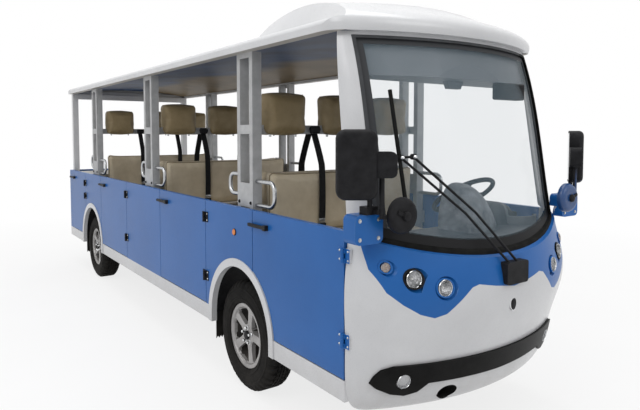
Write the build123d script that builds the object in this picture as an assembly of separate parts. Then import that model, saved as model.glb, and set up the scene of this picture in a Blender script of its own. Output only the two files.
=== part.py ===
from build123d import *
import math
import os

# Open-sided electric airport shuttle bus, in millimetres.
# +X is forward, +Y is the bus's left, +Z is up, and the origin is on the ground under the middle.

# Overall sizes
half_length = 2876
half_width = 730
wheelbase = 3380
front_axle_x = 1500
rear_axle_x = front_axle_x - wheelbase
running_gap = 6
wall = 30

# Levels
floor_z = 480
floor_thick = 20
frame_bottom_z = 385
frame_rail_y = 280
frame_rail_width = 50
sill_bottom_z = 324
sill_top_z = 421
belt_z = 1095
rail_bottom_z = 1990
rail_top_z = 2045

# Ladder pillars that carry the roof and the headrest bars
pillar_pitch = 1700
pillar_x = [front_axle_x - pillar_pitch * i for i in range(3)]
pillar_half_length = 95
pillar_leg = 38
pillar_outer_y = 680
pillar_inner_y = 620
bar_bottom_z = 1521
bar_top_z = 1575
bar_half_depth = 20

# Wheels
tyre_radius = 325
tyre_width = 185
tyre_offset_y = 607
rim_radius = 190
rim_bead_radius = 178
spindle_radius = 25
spindle_gap = 0.4
kingpin_inset = 70
kingpin_radius = 14
kingpin_gap = 0.5
arch_inner_radius = 362
arch_outer_radius = 410
arch_z = 380
arch_leg_z = sill_bottom_z
arch_proud = 6
well_gap = 12
well_thick = 6
well_inner_y = 335
well_outer_radius = arch_inner_radius + well_gap + well_thick
seat_fit = 0.3

# Ladder frame
frame_front_x = 2480
frame_rear_x = -half_length + 60
crossmember_x = (-2750, -2400, -1380, -700, 0, 700, 980, 2020, 2440)
crossmember_half = 20
tow_bracket_thick = 20

# Nose, from the plan curve and the upright profile of the moulding
nose_front_radius = 1350
nose_corner_radius = 140
nose_back_x = 2532
loft_back_x = 2150
nose_levels = [  # level z, front x, half width
    (262, 2690, 668),
    (300, 2740, 712),
    (480, 2798, 730),
    (700, 2868, 730),
    (860, half_length, 730),
    (1120, 2838, 728),
]
screen_levels = [  # level z, front x, half width
    (930, 2840, 724),
    (1210, 2774, 716),
    (1430, 2736, 708),
    (1715, 2680, 702),
    (2010, 2588, 700),
]
cowl_centre_z = 944
cowl_slope = 0.5
glass_thick = 8
glass_depth = 12

# Roof
roof_crown_rise = 62
roof_edge_radius = 28
roof_wall = 18
cap_seam_x = 2450
hump_sections = [  # x, base half width, shoulder half width, shoulder z, crown z
    (2700, 716, 640, 2080, 2122),
    (cap_seam_x, 712, 622, 2106, 2160),
    (2010, 650, 520, 2203, 2243),
    (1560, 610, 480, 2200, 2240),
    (1130, 520, 430, 2070, 2088),
]
cap_front_levels = [  # level z, front x, half width
    (1960, 2608, 728),
    (2060, 2616, 730),
    (2100, 2540, 730),
    (2150, 2400, 730),
    (2300, 1960, 730),
]

# Doors: front edge, rear edge and arch that cuts it
door_thick = 32
door_bottom_z = sill_top_z + running_gap
door_front_x = nose_back_x - running_gap
door_table = [  # name, front x, rear x
    ("front", door_front_x, 1683),
    ("second", 1040, 198),
    ("third", -660, -1500),
    ("rear", -2133, -2780),
]
hinge_radius = 9
hinge_pin_radius = 4
hinge_pin_gap = 0.3
hinge_proud = 12
hinge_levels = (606, 988)
hinge_height = 64
rear_hinge_levels = (850, 988)
handle_length = 190
handle_z = 1018

# Seats
seat_half_width = 600
seat_depth = 470
seat_top_z = 890
cushion_thick = 100
seat_back_thick = 85
seat_back_top_z = 1320
seat_gap = 22
headrest_width = 300
headrest_pitch = 420
headrest_bottom_z = 1512
headrest_height = 262
headrest_depth = 140
seat_round = 24
belt_width = 48
belt_thick = 4
armrest_radius = 12
armrest_bend = 50
armrest_y = 652
post_size = 60
deck_z = 1080

# Ceiling board, a shallow vault
ceiling_edge_z = 2010
ceiling_crown_rise = 48
ceiling_thick = 8

# Windscreen seal
seal_width = 14
seal_proud = 3

# Mirrors: a tall head, its arm housing and pole, and a round wide-angle mirror, on a pod at the corner
pod_box = (2620, 2700, 655, 805, 1062, 1187)  # x, x, y, y, z, z
pod_round = 26
mirror_head_size = (74, 172, 290)
mirror_head_round = 40
mirror_back_round = 26
mirror_head_centre = (2690, 790, 1396)
mirror_yaw = 35
mirror_housing_centre = (2744, 698, 1396)
mirror_housing_size = (58, 118, 108)
mirror_pole_radius = 11
head_pole = (2700, 728)  # x, y
housing_pole = (2744, 700)  # x, y
shackle_centre = (2688, 724)
shackle_half = (24, 30)
shackle_height = 34
round_mirror_centre = (2760, 602, 1180)
round_mirror_radius = 78
round_mirror_rim = 10
round_mirror_dome = 26

# Wiper
wiper_block = (2830, 2900, -77, 77, 831, 935)  # x, x, y, y, z, z
wiper_feet = ((2886, -44, 926), (2888, 8, 930))
wiper_knees = ((2798, -250, 1166), (2808, -196, 1168))
wiper_nuts = ((2654, -514, 1418), (2674, -457, 1421))
wiper_blade = ((2590, -524, 1719), (2686, -510, 1210))
wiper_arm_radius = 6

# Tail lamps
tail_lamp_y = 610
tail_lamp_half = (45, 120)
tail_lamp_z = 800
tail_lamp_proud = 22

# Dashboard
hood_radius = 150
hood_centre = (450, 985)  # y, z
hood_front_x = 2470
hood_round = 60
well_centre = (2437, 590)
dash_well_radius = 118
dash_well_wall = 12
dash_top_z = 1010
dash_well_rise = 48
steering_centre = (2170, 450, 1150)
steering_tilt = 34


def block(x0, x1, y0, y1, z0, z1):
    """A box between two corners."""
    size = Box(abs(x1 - x0), abs(y1 - y0), abs(z1 - z0))
    return Pos((x0 + x1) / 2, (y0 + y1) / 2, (z0 + z1) / 2) * size


def cylinder_x(radius, x0, x1, y, z):
    return Pos((x0 + x1) / 2, y, z) * Rot(0, 90, 0) * Cylinder(radius, abs(x1 - x0))


def cylinder_y(radius, y0, y1, x, z):
    return Pos(x, (y0 + y1) / 2, z) * Rot(90, 0, 0) * Cylinder(radius, abs(y1 - y0))


def cylinder_z(radius, z0, z1, x, y):
    return Pos(x, y, (z0 + z1) / 2) * Cylinder(radius, abs(z1 - z0))


def right_side(shape):
    """The same shape on the bus's other side."""
    return mirror(shape, about=Plane.XZ)


def rounded(shape, radius, axis):
    """The shape with its edges along an axis rounded."""
    return fillet(shape.edges().filter_by(axis), radius)


def both(shape):
    return [shape, right_side(shape)]


def solids_of(items):
    found = []
    for item in items:
        found += item.solids()
    return found


def node(name, items):
    """Write one piece, which may be several solids that don't touch."""
    solids = solids_of(items)
    shape = solids[0] if len(solids) == 1 else Compound(solids)
    export_step(shape, "parts/" + name + ".step")


def prism_x(points, x0, x1):
    """A prism along X from (y, z) points."""
    face = make_face(Polyline([(x0, y, z) for y, z in points], close=True))
    return extrude(face, amount=x1 - x0, dir=(1, 0, 0))


def prism_y(points, y0, y1):
    """A prism along Y from (x, z) points."""
    face = make_face(Polyline([(x, y0, z) for x, z in points], close=True))
    return extrude(face, amount=y1 - y0, dir=(0, 1, 0))


def plan_face(z, front_x, half, back_x, inset=0):
    """The bus's front end in plan: straight sides, two corner arcs and one wide front arc."""
    front_r = nose_front_radius - inset
    corner_r = nose_corner_radius - inset
    hw = half - inset
    centre_x = front_x - inset - front_r
    corner_y = hw - corner_r
    corner_x = centre_x + math.sqrt((front_r - corner_r) ** 2 - corner_y ** 2)
    turn = math.atan2(corner_y, corner_x - centre_x)
    mid = (turn + math.pi / 2) / 2
    join = (centre_x + front_r * math.cos(turn), front_r * math.sin(turn))
    bend = (corner_x + corner_r * math.cos(mid), corner_y + corner_r * math.sin(mid))
    outline = [
        Line((back_x, -hw), (corner_x, -hw)),
        ThreePointArc((corner_x, -hw), (bend[0], -bend[1]), (join[0], -join[1])),
        ThreePointArc((join[0], -join[1]), (front_x - inset, 0), join),
        ThreePointArc(join, bend, (corner_x, hw)),
        Line((corner_x, hw), (back_x, hw)),
        Line((back_x, hw), (back_x, -hw)),
    ]
    return Pos(0, 0, z) * make_face(Wire(outline))


def plan_loft(levels, back_x, inset=0):
    return loft([plan_face(z, x, w, back_x, inset) for z, x, w in levels])


def cowl_cut(above):
    """The half space above or below the tilted plane where the windscreen's surround meets the nose."""
    x0 = half_length - 800
    x1 = half_length + 100
    z0 = cowl_centre_z + cowl_slope * (half_length - x0)
    z1 = cowl_centre_z + cowl_slope * (half_length - x1)
    far = 3000 if above else -1500
    return prism_y([(x0, z0), (x1, z1), (x1, far), (x0, far)], -900, 900)


def arch_void(x, radius, y0, y1):
    """What an arch of this radius cuts away: a half disc with straight legs down to the sill's foot."""
    disc = cylinder_y(radius, y0, y1, x, arch_z)
    upper = disc & block(x - radius, x + radius, y0, y1, arch_z, arch_z + radius)
    return upper + block(x - radius, x + radius, y0, y1, arch_leg_z, arch_z)


def front_shell():
    outer = plan_loft(nose_levels, loft_back_x)
    inner = plan_loft(nose_levels, loft_back_x - 50, wall)
    front = block(nose_back_x, half_length + 50, -900, 900, 0, belt_z)
    return ((outer - inner) & front) - cowl_cut(True)


mask_outline = [  # y, z of the lamp mask's lower edge, from the middle to the side
    (0, 817),
    (126, 834),
    (223, 852),
    (261, 842),
    (311, 799),
    (386, 737),
    (441, 723),
    (506, 744),
    (581, 792),
    (645, 847),
    (694, 943),
    (704, 1120),
]


def mask_tool():
    other = [(-y, z) for y, z in reversed(mask_outline[1:])]
    return prism_x(other + mask_outline + [(704, 1200), (-704, 1200)], 2560, 2950)


def nose_face_x(y, z):
    """Where the nose's outer face lies at a height and distance from the middle."""
    for low, high in zip(nose_levels, nose_levels[1:]):
        if low[0] <= z <= high[0]:
            share = (z - low[0]) / (high[0] - low[0])
            front_x = low[1] + share * (high[1] - low[1])
            half = low[2] + share * (high[2] - low[2])
    centre_x = front_x - nose_front_radius
    corner_y = half - nose_corner_radius
    corner_x = centre_x + math.sqrt((nose_front_radius - nose_corner_radius) ** 2 - corner_y ** 2)
    turn = math.atan2(corner_y, corner_x - centre_x)
    if abs(y) <= nose_front_radius * math.sin(turn):
        return centre_x + math.sqrt(nose_front_radius ** 2 - y ** 2)
    return corner_x + math.sqrt(nose_corner_radius ** 2 - (abs(y) - corner_y) ** 2)


lamp_table = [  # y, z, lens radius
    (398, 854, 37),
    (531, 900, 38),
    (637, 953, 22),
]
fog_lamp = (521, 424, 34)
lens_depth = 26
lens_gap = 0.3
strip_proud = 14
rear_strip_proud = 24
tow_centre = (-280, 330)
tow_hole_half = (52, 34)
tow_socket_radius = 26
tow_bore_radius = 15
tow_bore_depth = 80
tow_mouth_x = 2630
lamp_rim = 6
lamp_rim_proud = 5
lamp_dish = 22
lamp_dish_depth = 16
strip_outline = [  # y, z of the bumper strip, from the middle's top round to the middle's bottom
    (0, 500),
    (570, 500),
    (621, 486),
    (646, 457),
    (659, 424),
    (633, 398),
    (572, 366),
    (510, 352),
    (452, 364),
    (404, 402),
    (0, 396),
]


def lamp_cuts(grow):
    cuts = []
    for y, z, radius in lamp_table:
        for side in (-1, 1):
            cuts.append(cylinder_x(radius + grow, 2600, 2950, side * y, z))
    return cuts


def lamp_dishes():
    """Shallow cones that set each lamp back into the mask."""
    dishes = []
    for y, z, radius in lamp_table:
        face = nose_face_x(y, z)
        outer = radius + lamp_rim + lamp_dish
        cone = Cone(radius + lamp_rim, outer, lamp_dish_depth + 20)
        for side in (-1, 1):
            dishes.append(Pos(face - lamp_dish_depth / 2 + 10, side * y, z) * Rot(0, 90, 0) * cone)
    return dishes


def upper_shell():
    """The front cap's walls round the windscreen."""
    outer = plan_loft(screen_levels, loft_back_x)
    inner = plan_loft(screen_levels, loft_back_x - 50, 40)
    return outer, inner


def screen_tool(grow):
    """The windscreen's outline seen from the front."""
    low = 640 + grow
    high = 632 + grow
    top = 1972 + grow
    return prism_x([(-low, 900), (low, 900), (low, 1150), (high, top), (-high, top), (-low, 1150)], 2300, 2950)


def roof_section(x, inset=0):
    """The plain roof in section: upright edges, rounded shoulders and a slightly crowned top."""
    hw = half_width - inset
    low = rail_bottom_z
    side = rail_top_z - inset
    crown = rail_top_z + roof_crown_rise - inset
    face = make_face(Wire([
        Line((x, -hw, low), (x, hw, low)),
        Line((x, hw, low), (x, hw, side - roof_edge_radius)),
        ThreePointArc((x, hw, side - roof_edge_radius), (x, hw - 10, side - 6), (x, hw - roof_edge_radius, side + 4)),
        ThreePointArc((x, hw - roof_edge_radius, side + 4), (x, 0, crown), (x, roof_edge_radius - hw, side + 4)),
        ThreePointArc((x, roof_edge_radius - hw, side + 4), (x, 10 - hw, side - 6), (x, -hw, side - roof_edge_radius)),
        Line((x, -hw, side - roof_edge_radius), (x, -hw, low)),
    ]))
    return face


def hump_section(x, base, shoulder, shoulder_z, crown_z, inset=0):
    low = rail_bottom_z + 10
    b = base - inset
    s = shoulder - inset
    sz = shoulder_z - inset
    cz = crown_z - inset
    return make_face(Wire([
        Line((x, -b, low), (x, b, low)),
        Line((x, b, low), (x, s, sz)),
        ThreePointArc((x, s, sz), (x, 0, cz), (x, -s, sz)),
        Line((x, -s, sz), (x, -b, low)),
    ]))


def roof_solid(inset=0):
    base = extrude(roof_section(-half_length + inset, inset), amount=half_length + 2700 - inset, dir=(1, 0, 0))
    hump = loft([hump_section(*row, inset) for row in hump_sections])
    return base + hump


def build_roof():
    whole = roof_solid()
    hollow = roof_solid(roof_wall) - block(-3000, 3000, -800, 800, 0, rail_top_z - 20)
    front_limit = plan_loft(cap_front_levels, -3100)
    front_inner = plan_loft(cap_front_levels, -3200, roof_wall)
    skin = (whole & front_limit) - (hollow & front_inner)
    cap_top = skin & block(cap_seam_x, 3000, -800, 800, 1900, 2400)
    rear_top = skin & block(-half_length, cap_seam_x, -800, 800, rail_top_z - 20, 2400)
    rail_body = skin & block(-half_length, cap_seam_x, -800, 800, 1900, rail_top_z - 20)
    rail = [rail_body - block(-half_length + 62, cap_seam_x + 10, 62 - half_width, half_width - 62, 1900, 2100)]
    return cap_top, rear_top, rail


def tow_hole():
    """The oval way through the bumper to the towing socket."""
    y, z = tow_centre
    wide, tall = tow_hole_half
    oval = Plane(origin=(2400, y, z), x_dir=(0, 1, 0), z_dir=(1, 0, 0)) * Ellipse(wide, tall)
    return extrude(oval, amount=500)


def body_shells():
    shell = front_shell()
    mask_cut = mask_tool()
    mask = shell & mask_cut
    front = shell - mask_cut
    for dish in lamp_dishes():
        mask = mask - dish
    for cut in lamp_cuts(lamp_rim):
        mask = mask - cut
    rim_slab = plan_loft(nose_levels, loft_back_x, -lamp_rim_proud) - plan_loft(nose_levels, loft_back_x - 50, lens_depth)
    rims = []
    for outer, inner in zip(lamp_cuts(lamp_rim - lens_gap), lamp_cuts(0)):
        rims.append(rim_slab & (outer - inner))
    lenses = []
    lens_slab = plan_loft(nose_levels, loft_back_x, 4) - plan_loft(nose_levels, loft_back_x - 50, 4 + lens_depth)
    for cut in lamp_cuts(-lens_gap):
        lenses.append(lens_slab & cut)
    strip_slab = plan_loft(nose_levels, loft_back_x, -strip_proud) - plan_loft(nose_levels, loft_back_x - 50)
    mirrored = [(-y, z) for y, z in reversed(strip_outline[1:-1])]
    strip = strip_slab & prism_x(strip_outline + mirrored, 2560, 2950)
    fog_y, fog_z, fog_radius = fog_lamp
    for side in (-1, 1):
        bore = cylinder_x(fog_radius, 2500, 2950, side * fog_y, fog_z)
        strip = strip - bore
        fog = cylinder_x(fog_radius - lens_gap, 2500, 2950, side * fog_y, fog_z)
        lenses.append(strip_slab & fog)
    for leaf in nose_hinges():
        front = front + leaf
    tow = tow_hole()
    front = front - tow
    node("front_body", [front])
    node("front_mask", [mask])
    node("lamps", lenses)
    node("lamp_rims", rims)
    rear_strip = block(-half_length - rear_strip_proud, -half_length, -620, 620, 340, 415)
    node("bumper_strip", [strip, rear_strip])
    outer, inner = upper_shell()
    ring = (outer - inner) & cowl_cut(True)
    a_pillar_rear = prism_y([(2200, 1000), (2534, 1000), (2534, 1095), (2420, 1855), (2380, 2100), (2200, 2100)], -900, 900)
    ring = ring - a_pillar_rear
    opening = screen_tool(0)
    glass_outer = plan_loft(screen_levels, loft_back_x, glass_depth)
    glass_slab = glass_outer - plan_loft(screen_levels, loft_back_x - 50, glass_depth + glass_thick)
    cap_walls = ring - opening
    cap_top, rear_top, rails = build_roof()
    cap = (cap_walls & block(2300, 2950, -900, 900, 0, rail_bottom_z)) + cap_top
    node("front_cap", [cap])
    pane = (glass_slab & screen_tool(-seal_width - lens_gap)) & cowl_cut(True)
    base_line = Pos(0, 0, seal_width) * cowl_cut(True)
    pane = pane & base_line
    node("windscreen", [pane])
    seal_outer = plan_loft(screen_levels, loft_back_x, -seal_proud)
    seal_slab = seal_outer - plan_loft(screen_levels, loft_back_x - 50, glass_depth + glass_thick)
    band = (seal_slab & screen_tool(-lens_gap)) & cowl_cut(True)
    inside = screen_tool(-seal_width) & base_line
    node("windscreen_seal", [band - inside])
    node("roof_panel", [rear_top])
    node("roof_rails", rails)


def tyre_solid():
    half = tyre_width / 2
    r = tyre_radius
    profile = [
        (rim_bead_radius, -half + 24), (rim_radius + 3, -half + 24), (rim_radius + 6, -half + 8),
        (rim_bead_radius + 62, -half), (r - 42, -half + 6), (r - 12, -half + 18), (r, -half + 34),
        (r, half - 34), (r - 12, half - 18), (r - 42, half - 6), (rim_bead_radius + 62, half),
        (rim_radius + 6, half - 8), (rim_radius + 3, half - 24), (rim_bead_radius, half - 24),
    ]
    face = make_face(Polyline([(a, b, 0) for a, b in profile], close=True))
    return revolve(face, Axis.Y, 360)


def rim_solid():
    """Five-spoke alloy wheel about the Y axis, outer face towards +Y."""
    half = tyre_width / 2
    barrel = [
        (rim_radius, half - 16), (rim_radius, half - 23.5), (rim_bead_radius - 0.2, half - 23.5),
        (rim_bead_radius - 0.2, 23.5 - half), (rim_radius, 23.5 - half), (rim_radius, 16 - half),
        (rim_bead_radius - 8, 16 - half), (rim_bead_radius - 18, 40 - half), (rim_bead_radius - 18, half - 34),
        (rim_bead_radius - 8, half - 16),
    ]
    hub = [
        (spindle_radius + spindle_gap, 0), (spindle_radius + spindle_gap, half - 30), (60, half - 34),
        (rim_bead_radius - 15, half - 24), (rim_bead_radius - 15, half - 44), (70, half - 60), (66, 0),
    ]
    body = revolve(make_face(Polyline([(a, b, 0) for a, b in barrel], close=True)), Axis.Y, 360)
    disc = revolve(make_face(Polyline([(a, b, 0) for a, b in hub], close=True)), Axis.Y, 360)
    for i in range(5):
        window = [(62, -14), (84, -34), (138, -68), (156, -52), (160, 0), (156, 52), (138, 68), (84, 34), (62, 14)]
        cut = extrude(make_face(Polyline([(a, -100, b) for a, b in window], close=True)), amount=300, dir=(0, 1, 0))
        disc = disc - Rot(0, 36 + 72 * i, 0) * cut
    return body + disc


def wheel_nodes():
    tyre = tyre_solid()
    rim = rim_solid()
    for name, x, side in (("front_left", front_axle_x, 1), ("front_right", front_axle_x, -1),
                          ("rear_left", rear_axle_x, 1), ("rear_right", rear_axle_x, -1)):
        place = Pos(x, tyre_offset_y, tyre_radius)
        if side > 0:
            node("tyre_" + name, [place * tyre])
            node("rim_" + name, [place * rim])
        else:
            node("tyre_" + name, [right_side(place * tyre)])
            node("rim_" + name, [right_side(place * rim)])


def knuckles_and_axles():
    """Uprights on kingpins at the ends of a dropped beam, and the driven axle behind."""
    z = tyre_radius
    x = front_axle_x
    king_y = tyre_offset_y - kingpin_inset
    tip_y = tyre_offset_y + tyre_width / 2 - 34
    body = cylinder_y(spindle_radius, king_y + 34, tip_y, x, z)
    body = body + block(x - 30, x + 30, king_y + 32, king_y + 48, z - 56, z + 56)
    for low in (z + 36, z - 56):
        body = body + block(x - 24, x + 24, king_y - 22, king_y + 48, low, low + 20)
    body = body + cylinder_z(kingpin_radius, z - 56, z + 56, x, king_y)
    body = body + block(x - 150, x - 24, king_y - 10, king_y + 10, z - 56, z - 40)
    node("knuckle_left", [body])
    node("knuckle_right", [right_side(body)])
    bore = cylinder_z(kingpin_radius + kingpin_gap, z - 40, z + 40, x, king_y)
    eye = cylinder_z(28, z - 35, z + 35, x, king_y)
    beam = block(x - 26, x + 26, -king_y, king_y, z - 24, z + 24)
    axle = (beam + eye + right_side(eye)) - bore - right_side(bore)
    for side in (-1, 1):
        axle = axle + leaf_spring(x, side * frame_rail_y, z + 24)
    node("front_axle", [axle])
    rx = rear_axle_x
    tube = cylinder_y(42, -(tyre_offset_y - 100), tyre_offset_y - 100, rx, z)
    tube = tube + cylinder_y(spindle_radius, -tip_y, tip_y, rx, z)
    tube = tube + Pos(rx, 60, z) * Sphere(120)
    tube = tube + cylinder_x(75, rx + 90, rx + 330, 60, z)
    for side in (-1, 1):
        tube = tube + leaf_spring(rx, side * frame_rail_y, z + 20)
    node("rear_axle", [tube])


def leaf_spring(x, y, low):
    """A leaf pack that reaches up to the frame rail at both ends."""
    top = frame_bottom_z
    pack = prism_y([(x - 480, top), (x - 480, top - 10), (x - 200, low), (x + 200, low), (x + 480, top - 10),
                    (x + 480, top), (x + 440, top), (x + 190, low + 24), (x - 190, low + 24), (x - 440, top)],
                   y - 25, y + 25)
    return pack


def chassis():
    rail_top = floor_z - floor_thick
    rail_in = frame_rail_y - frame_rail_width / 2
    rail_out = frame_rail_y + frame_rail_width / 2
    members = both(block(frame_rear_x, frame_front_x, rail_in, rail_out, frame_bottom_z, rail_top))
    top = sill_top_z - 1
    for x in crossmember_x:
        rear = x - crossmember_half
        front = x + crossmember_half
        members.append(block(rear, front, seat_fit - rail_in, rail_in - seat_fit, frame_bottom_z, top))
        members += both(block(rear, front, rail_out + seat_fit, half_width - wall, frame_bottom_z, top))
    tow_y, tow_z = tow_centre
    back = frame_front_x + seat_fit
    end_x = back + tow_bracket_thick
    bracket = block(back, end_x, tow_y - 32, tow_y + 32, tow_z - 40, rail_top)
    bracket = bracket + cylinder_x(tow_socket_radius, end_x, tow_mouth_x, tow_y, tow_z)
    bracket = bracket - cylinder_x(tow_bore_radius, tow_mouth_x - tow_bore_depth, tow_mouth_x + 1, tow_y, tow_z)
    members.append(bracket)
    node("chassis_frame", members)
    floor_half = half_width - door_thick - running_gap
    floor = block(-half_length + wall, 2500, -floor_half, floor_half, rail_top, floor_z)
    cut_y = well_inner_y - well_thick - seat_fit
    for x in (front_axle_x, rear_axle_x):
        for side in (-1, 1):
            floor = floor - arch_void(x, well_outer_radius + seat_fit, side * cut_y, side * 760)
    node("floor", [floor])
    wells = []
    for x in (front_axle_x, rear_axle_x):
        outer = arch_void(x, well_outer_radius, well_inner_y - well_thick, half_width - wall)
        inner = arch_void(x, arch_inner_radius + well_gap, well_inner_y, 900)
        axle_way = block(x - 60, x + 60, 300, 400, 300, 425)
        wells += both(outer - inner - axle_way)
    node("wheel_wells", wells)
    node("battery_pack", [block(-620, 620, -340, 340, 215, frame_bottom_z)])


def sills():
    bar = block(-half_length, nose_back_x, half_width - wall, half_width, sill_bottom_z, sill_top_z)
    trim = bar
    for x in (front_axle_x, rear_axle_x):
        trim = trim + arch_void(x, arch_outer_radius, half_width - wall, half_width + arch_proud)
    for x in (front_axle_x, rear_axle_x):
        trim = trim - arch_void(x, arch_inner_radius, 600, 800)
    node("sills_and_arches", both(trim))


def hinge_fixed(x, z):
    half = hinge_height / 2
    y = half_width + hinge_proud
    leaf = block(x + 11, x + 42, half_width - 12, half_width + 3, z - half, z + half)
    knuckles = leaf
    third = hinge_height / 6
    for side in (-1, 1):
        low = z + side * (half + third + 0.5) / 2
        reach = (half - third - 0.5) / 2
        knuckles = knuckles + cylinder_z(hinge_radius, low - reach, low + reach, x, y)
        knuckles = knuckles + block(x, x + 14, half_width, half_width + 3 + 6, low - reach, low + reach)
    knuckles = knuckles + cylinder_z(hinge_pin_radius, z - half, z + half, x, y)
    return knuckles


def hinge_moving(x, z):
    half = hinge_height / 2
    y = half_width + hinge_proud
    third = hinge_height / 6
    leaf = block(x - 42, x - 12, half_width - 1, half_width + 3, z - half, z + half)
    barrel = cylinder_z(hinge_radius, z - third, z + third, x, y)
    tongue = block(x - 14, x, half_width, half_width + 9, z - third, z + third)
    return (leaf + barrel + tongue) - cylinder_z(hinge_pin_radius + hinge_pin_gap, z - half, z + half, x, y)


def hinge_x(front_x):
    return front_x + running_gap / 2


def nose_hinges():
    """The front doors' fixed hinge leaves, which are let into the nose."""
    leaves = []
    for z in hinge_levels:
        leaves += both(hinge_fixed(hinge_x(door_front_x), z))
    return leaves


def side_nodes():
    """Fixed side panels with the hinges' fixed leaves, and the doors."""
    arch_clear = arch_outer_radius + running_gap
    fixed_arch = arch_outer_radius + 0.3
    spans = []
    for (_, _, rear), (_, front, _) in zip(door_table, door_table[1:]):
        spans.append((rear - running_gap, front + running_gap))
    spans.append((door_table[-1][2] - running_gap, -half_length))
    panels = []
    for front, rear in spans:
        panel = block(rear, front, half_width - wall, half_width, sill_top_z, belt_z)
        for x in (front_axle_x, rear_axle_x):
            if rear < x + fixed_arch and front > x - fixed_arch:
                panel = panel - arch_void(x, fixed_arch, 600, 800)
        panels.append(panel)
    for i, (name, front, rear) in enumerate(door_table):
        door = block(rear, front, half_width - door_thick, half_width, door_bottom_z, belt_z)
        for x in (front_axle_x, rear_axle_x):
            if rear < x + arch_clear and front > x - arch_clear:
                door = door - arch_void(x, arch_clear, 600, 800)
        levels = rear_hinge_levels if name == "rear" else hinge_levels
        for z in levels:
            door = door - cylinder_z(hinge_radius + 3, z - 40, z + 40, hinge_x(front), half_width + hinge_proud)
            door = door + hinge_moving(hinge_x(front), z)
            if i > 0:
                panels[i - 1] = panels[i - 1] + hinge_fixed(hinge_x(front), z)
        start = rear + handle_length - 20
        lever = block(start - 26, start + 4, half_width - 1, half_width + 22, handle_z - 14, handle_z + 14)
        lever = lever + block(rear - 20, start, half_width + 10, half_width + 22, handle_z - 9, handle_z + 9)
        door = door + lever
        node("door_" + name + "_left", [door])
        node("door_" + name + "_right", [right_side(door)])
    node("side_panels_left", panels)
    node("side_panels_right", [right_side(p) for p in panels])


def pillars():
    portals = []
    for x in pillar_x:
        portal = block(x - bar_half_depth, x + bar_half_depth, -pillar_outer_y, pillar_outer_y, bar_bottom_z, bar_top_z)
        for side in (-1, 1):
            for edge in (-1, 1):
                leg_x = x + edge * (pillar_half_length - pillar_leg / 2)
                portal = portal + block(leg_x - pillar_leg / 2, leg_x + pillar_leg / 2,
                                        side * pillar_inner_y, side * pillar_outer_y, floor_z, rail_bottom_z)
            portal = portal + block(x - pillar_half_length, x + pillar_half_length, side * (pillar_outer_y - 12),
                                    side * pillar_outer_y, belt_z, belt_z + 140)
            portal = portal + block(x - pillar_half_length, x + pillar_half_length, side * pillar_inner_y,
                                    side * pillar_outer_y, bar_bottom_z, bar_top_z)
            portal = portal + block(x - pillar_half_length, x + pillar_half_length, side * pillar_outer_y,
                                    side * (half_width - wall), belt_z - 200, belt_z - 120)
            portal = portal + block(x - pillar_half_length, x + pillar_half_length, side * (pillar_outer_y - 12),
                                    side * pillar_outer_y, rail_bottom_z - 30, rail_bottom_z)
        for wheel_x in (front_axle_x, rear_axle_x):
            if abs(wheel_x - x) < 400:
                for side in (-1, 1):
                    portal = portal - arch_void(wheel_x, well_outer_radius + seat_fit, side * 300, side * 720)
        portals.append(portal)
    node("pillars", portals)


def seats():
    backs = []
    cushions = []
    bases = []
    rests = []
    rows = []  # pillar, facing
    for i, x in enumerate(pillar_x):
        rows.append((x, 1))
        if i < len(pillar_x) - 1:
            rows.append((x, -1))
    for x, facing in rows:
        near = x + facing * seat_gap
        back_face = near + facing * seat_back_thick
        front = near + facing * seat_depth
        back = block(near, back_face, -seat_half_width, seat_half_width, seat_top_z + seat_fit, seat_back_top_z)
        backs.append(rounded(back, seat_round, Axis.Y))
        cushion = block(near, front, -seat_half_width, seat_half_width, seat_top_z - cushion_thick, seat_top_z)
        cushions.append(rounded(cushion, seat_round, Axis.Y))
        base = block(near, front - facing * 30, -seat_half_width, seat_half_width, floor_z,
                     seat_top_z - cushion_thick)
        for wheel_x in (front_axle_x, rear_axle_x):
            if abs(wheel_x - x) < 400:
                r = well_outer_radius + seat_fit
                for side in (-1, 1):
                    base = base - arch_void(wheel_x, r, side * (well_inner_y - well_thick - seat_fit), side * 699)
        bases.append(base)
    for x in pillar_x:
        bar = block(x - bar_half_depth, x + bar_half_depth, -700, 700, bar_bottom_z, bar_top_z)
        for k in (-1, 0, 1):
            rest = block(x - headrest_depth / 2, x + headrest_depth / 2, k * headrest_pitch - headrest_width / 2,
                         k * headrest_pitch + headrest_width / 2, headrest_bottom_z, headrest_bottom_z + headrest_height)
            rest = fillet(rest.edges(), seat_round)
            slot = block(x - bar_half_depth, x + bar_half_depth, -700, 700, headrest_bottom_z - 10, bar_top_z)
            rests.append(rest - slot)
    node("seat_backs", backs)
    node("seat_cushions", cushions)
    node("seat_bases", bases)
    node("headrests", rests)


def seat_belts():
    """Straps from the headrest bar down over the seat back to the cushion, with their reels."""
    belts = []
    for i, x in enumerate(pillar_x):
        for facing in (1, -1):
            if i == len(pillar_x) - 1 and facing < 0:
                continue
            face = seat_gap + seat_back_thick + 1
            top = (bar_half_depth, bar_bottom_z + 30)
            knee = (face + 2, seat_back_top_z + 20)
            foot = (face + 2, seat_top_z + 1)
            line = [top, knee, foot, (foot[0] + belt_thick, foot[1]), (knee[0] + belt_thick, knee[1] + 6),
                    (top[0], top[1] + 2 * belt_thick)]
            for y in (-headrest_pitch / 2, headrest_pitch / 2):
                points = [(x + facing * a, b) for a, b in line]
                strap = prism_y(points, y - belt_width / 2, y + belt_width / 2)
                reel = block(x + facing * bar_half_depth, x + facing * (bar_half_depth + 36), y - 32, y + 32,
                             bar_bottom_z + 4, bar_top_z + 14)
                belts.append(strap + reel)
    node("seat_belts", belts)


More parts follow.
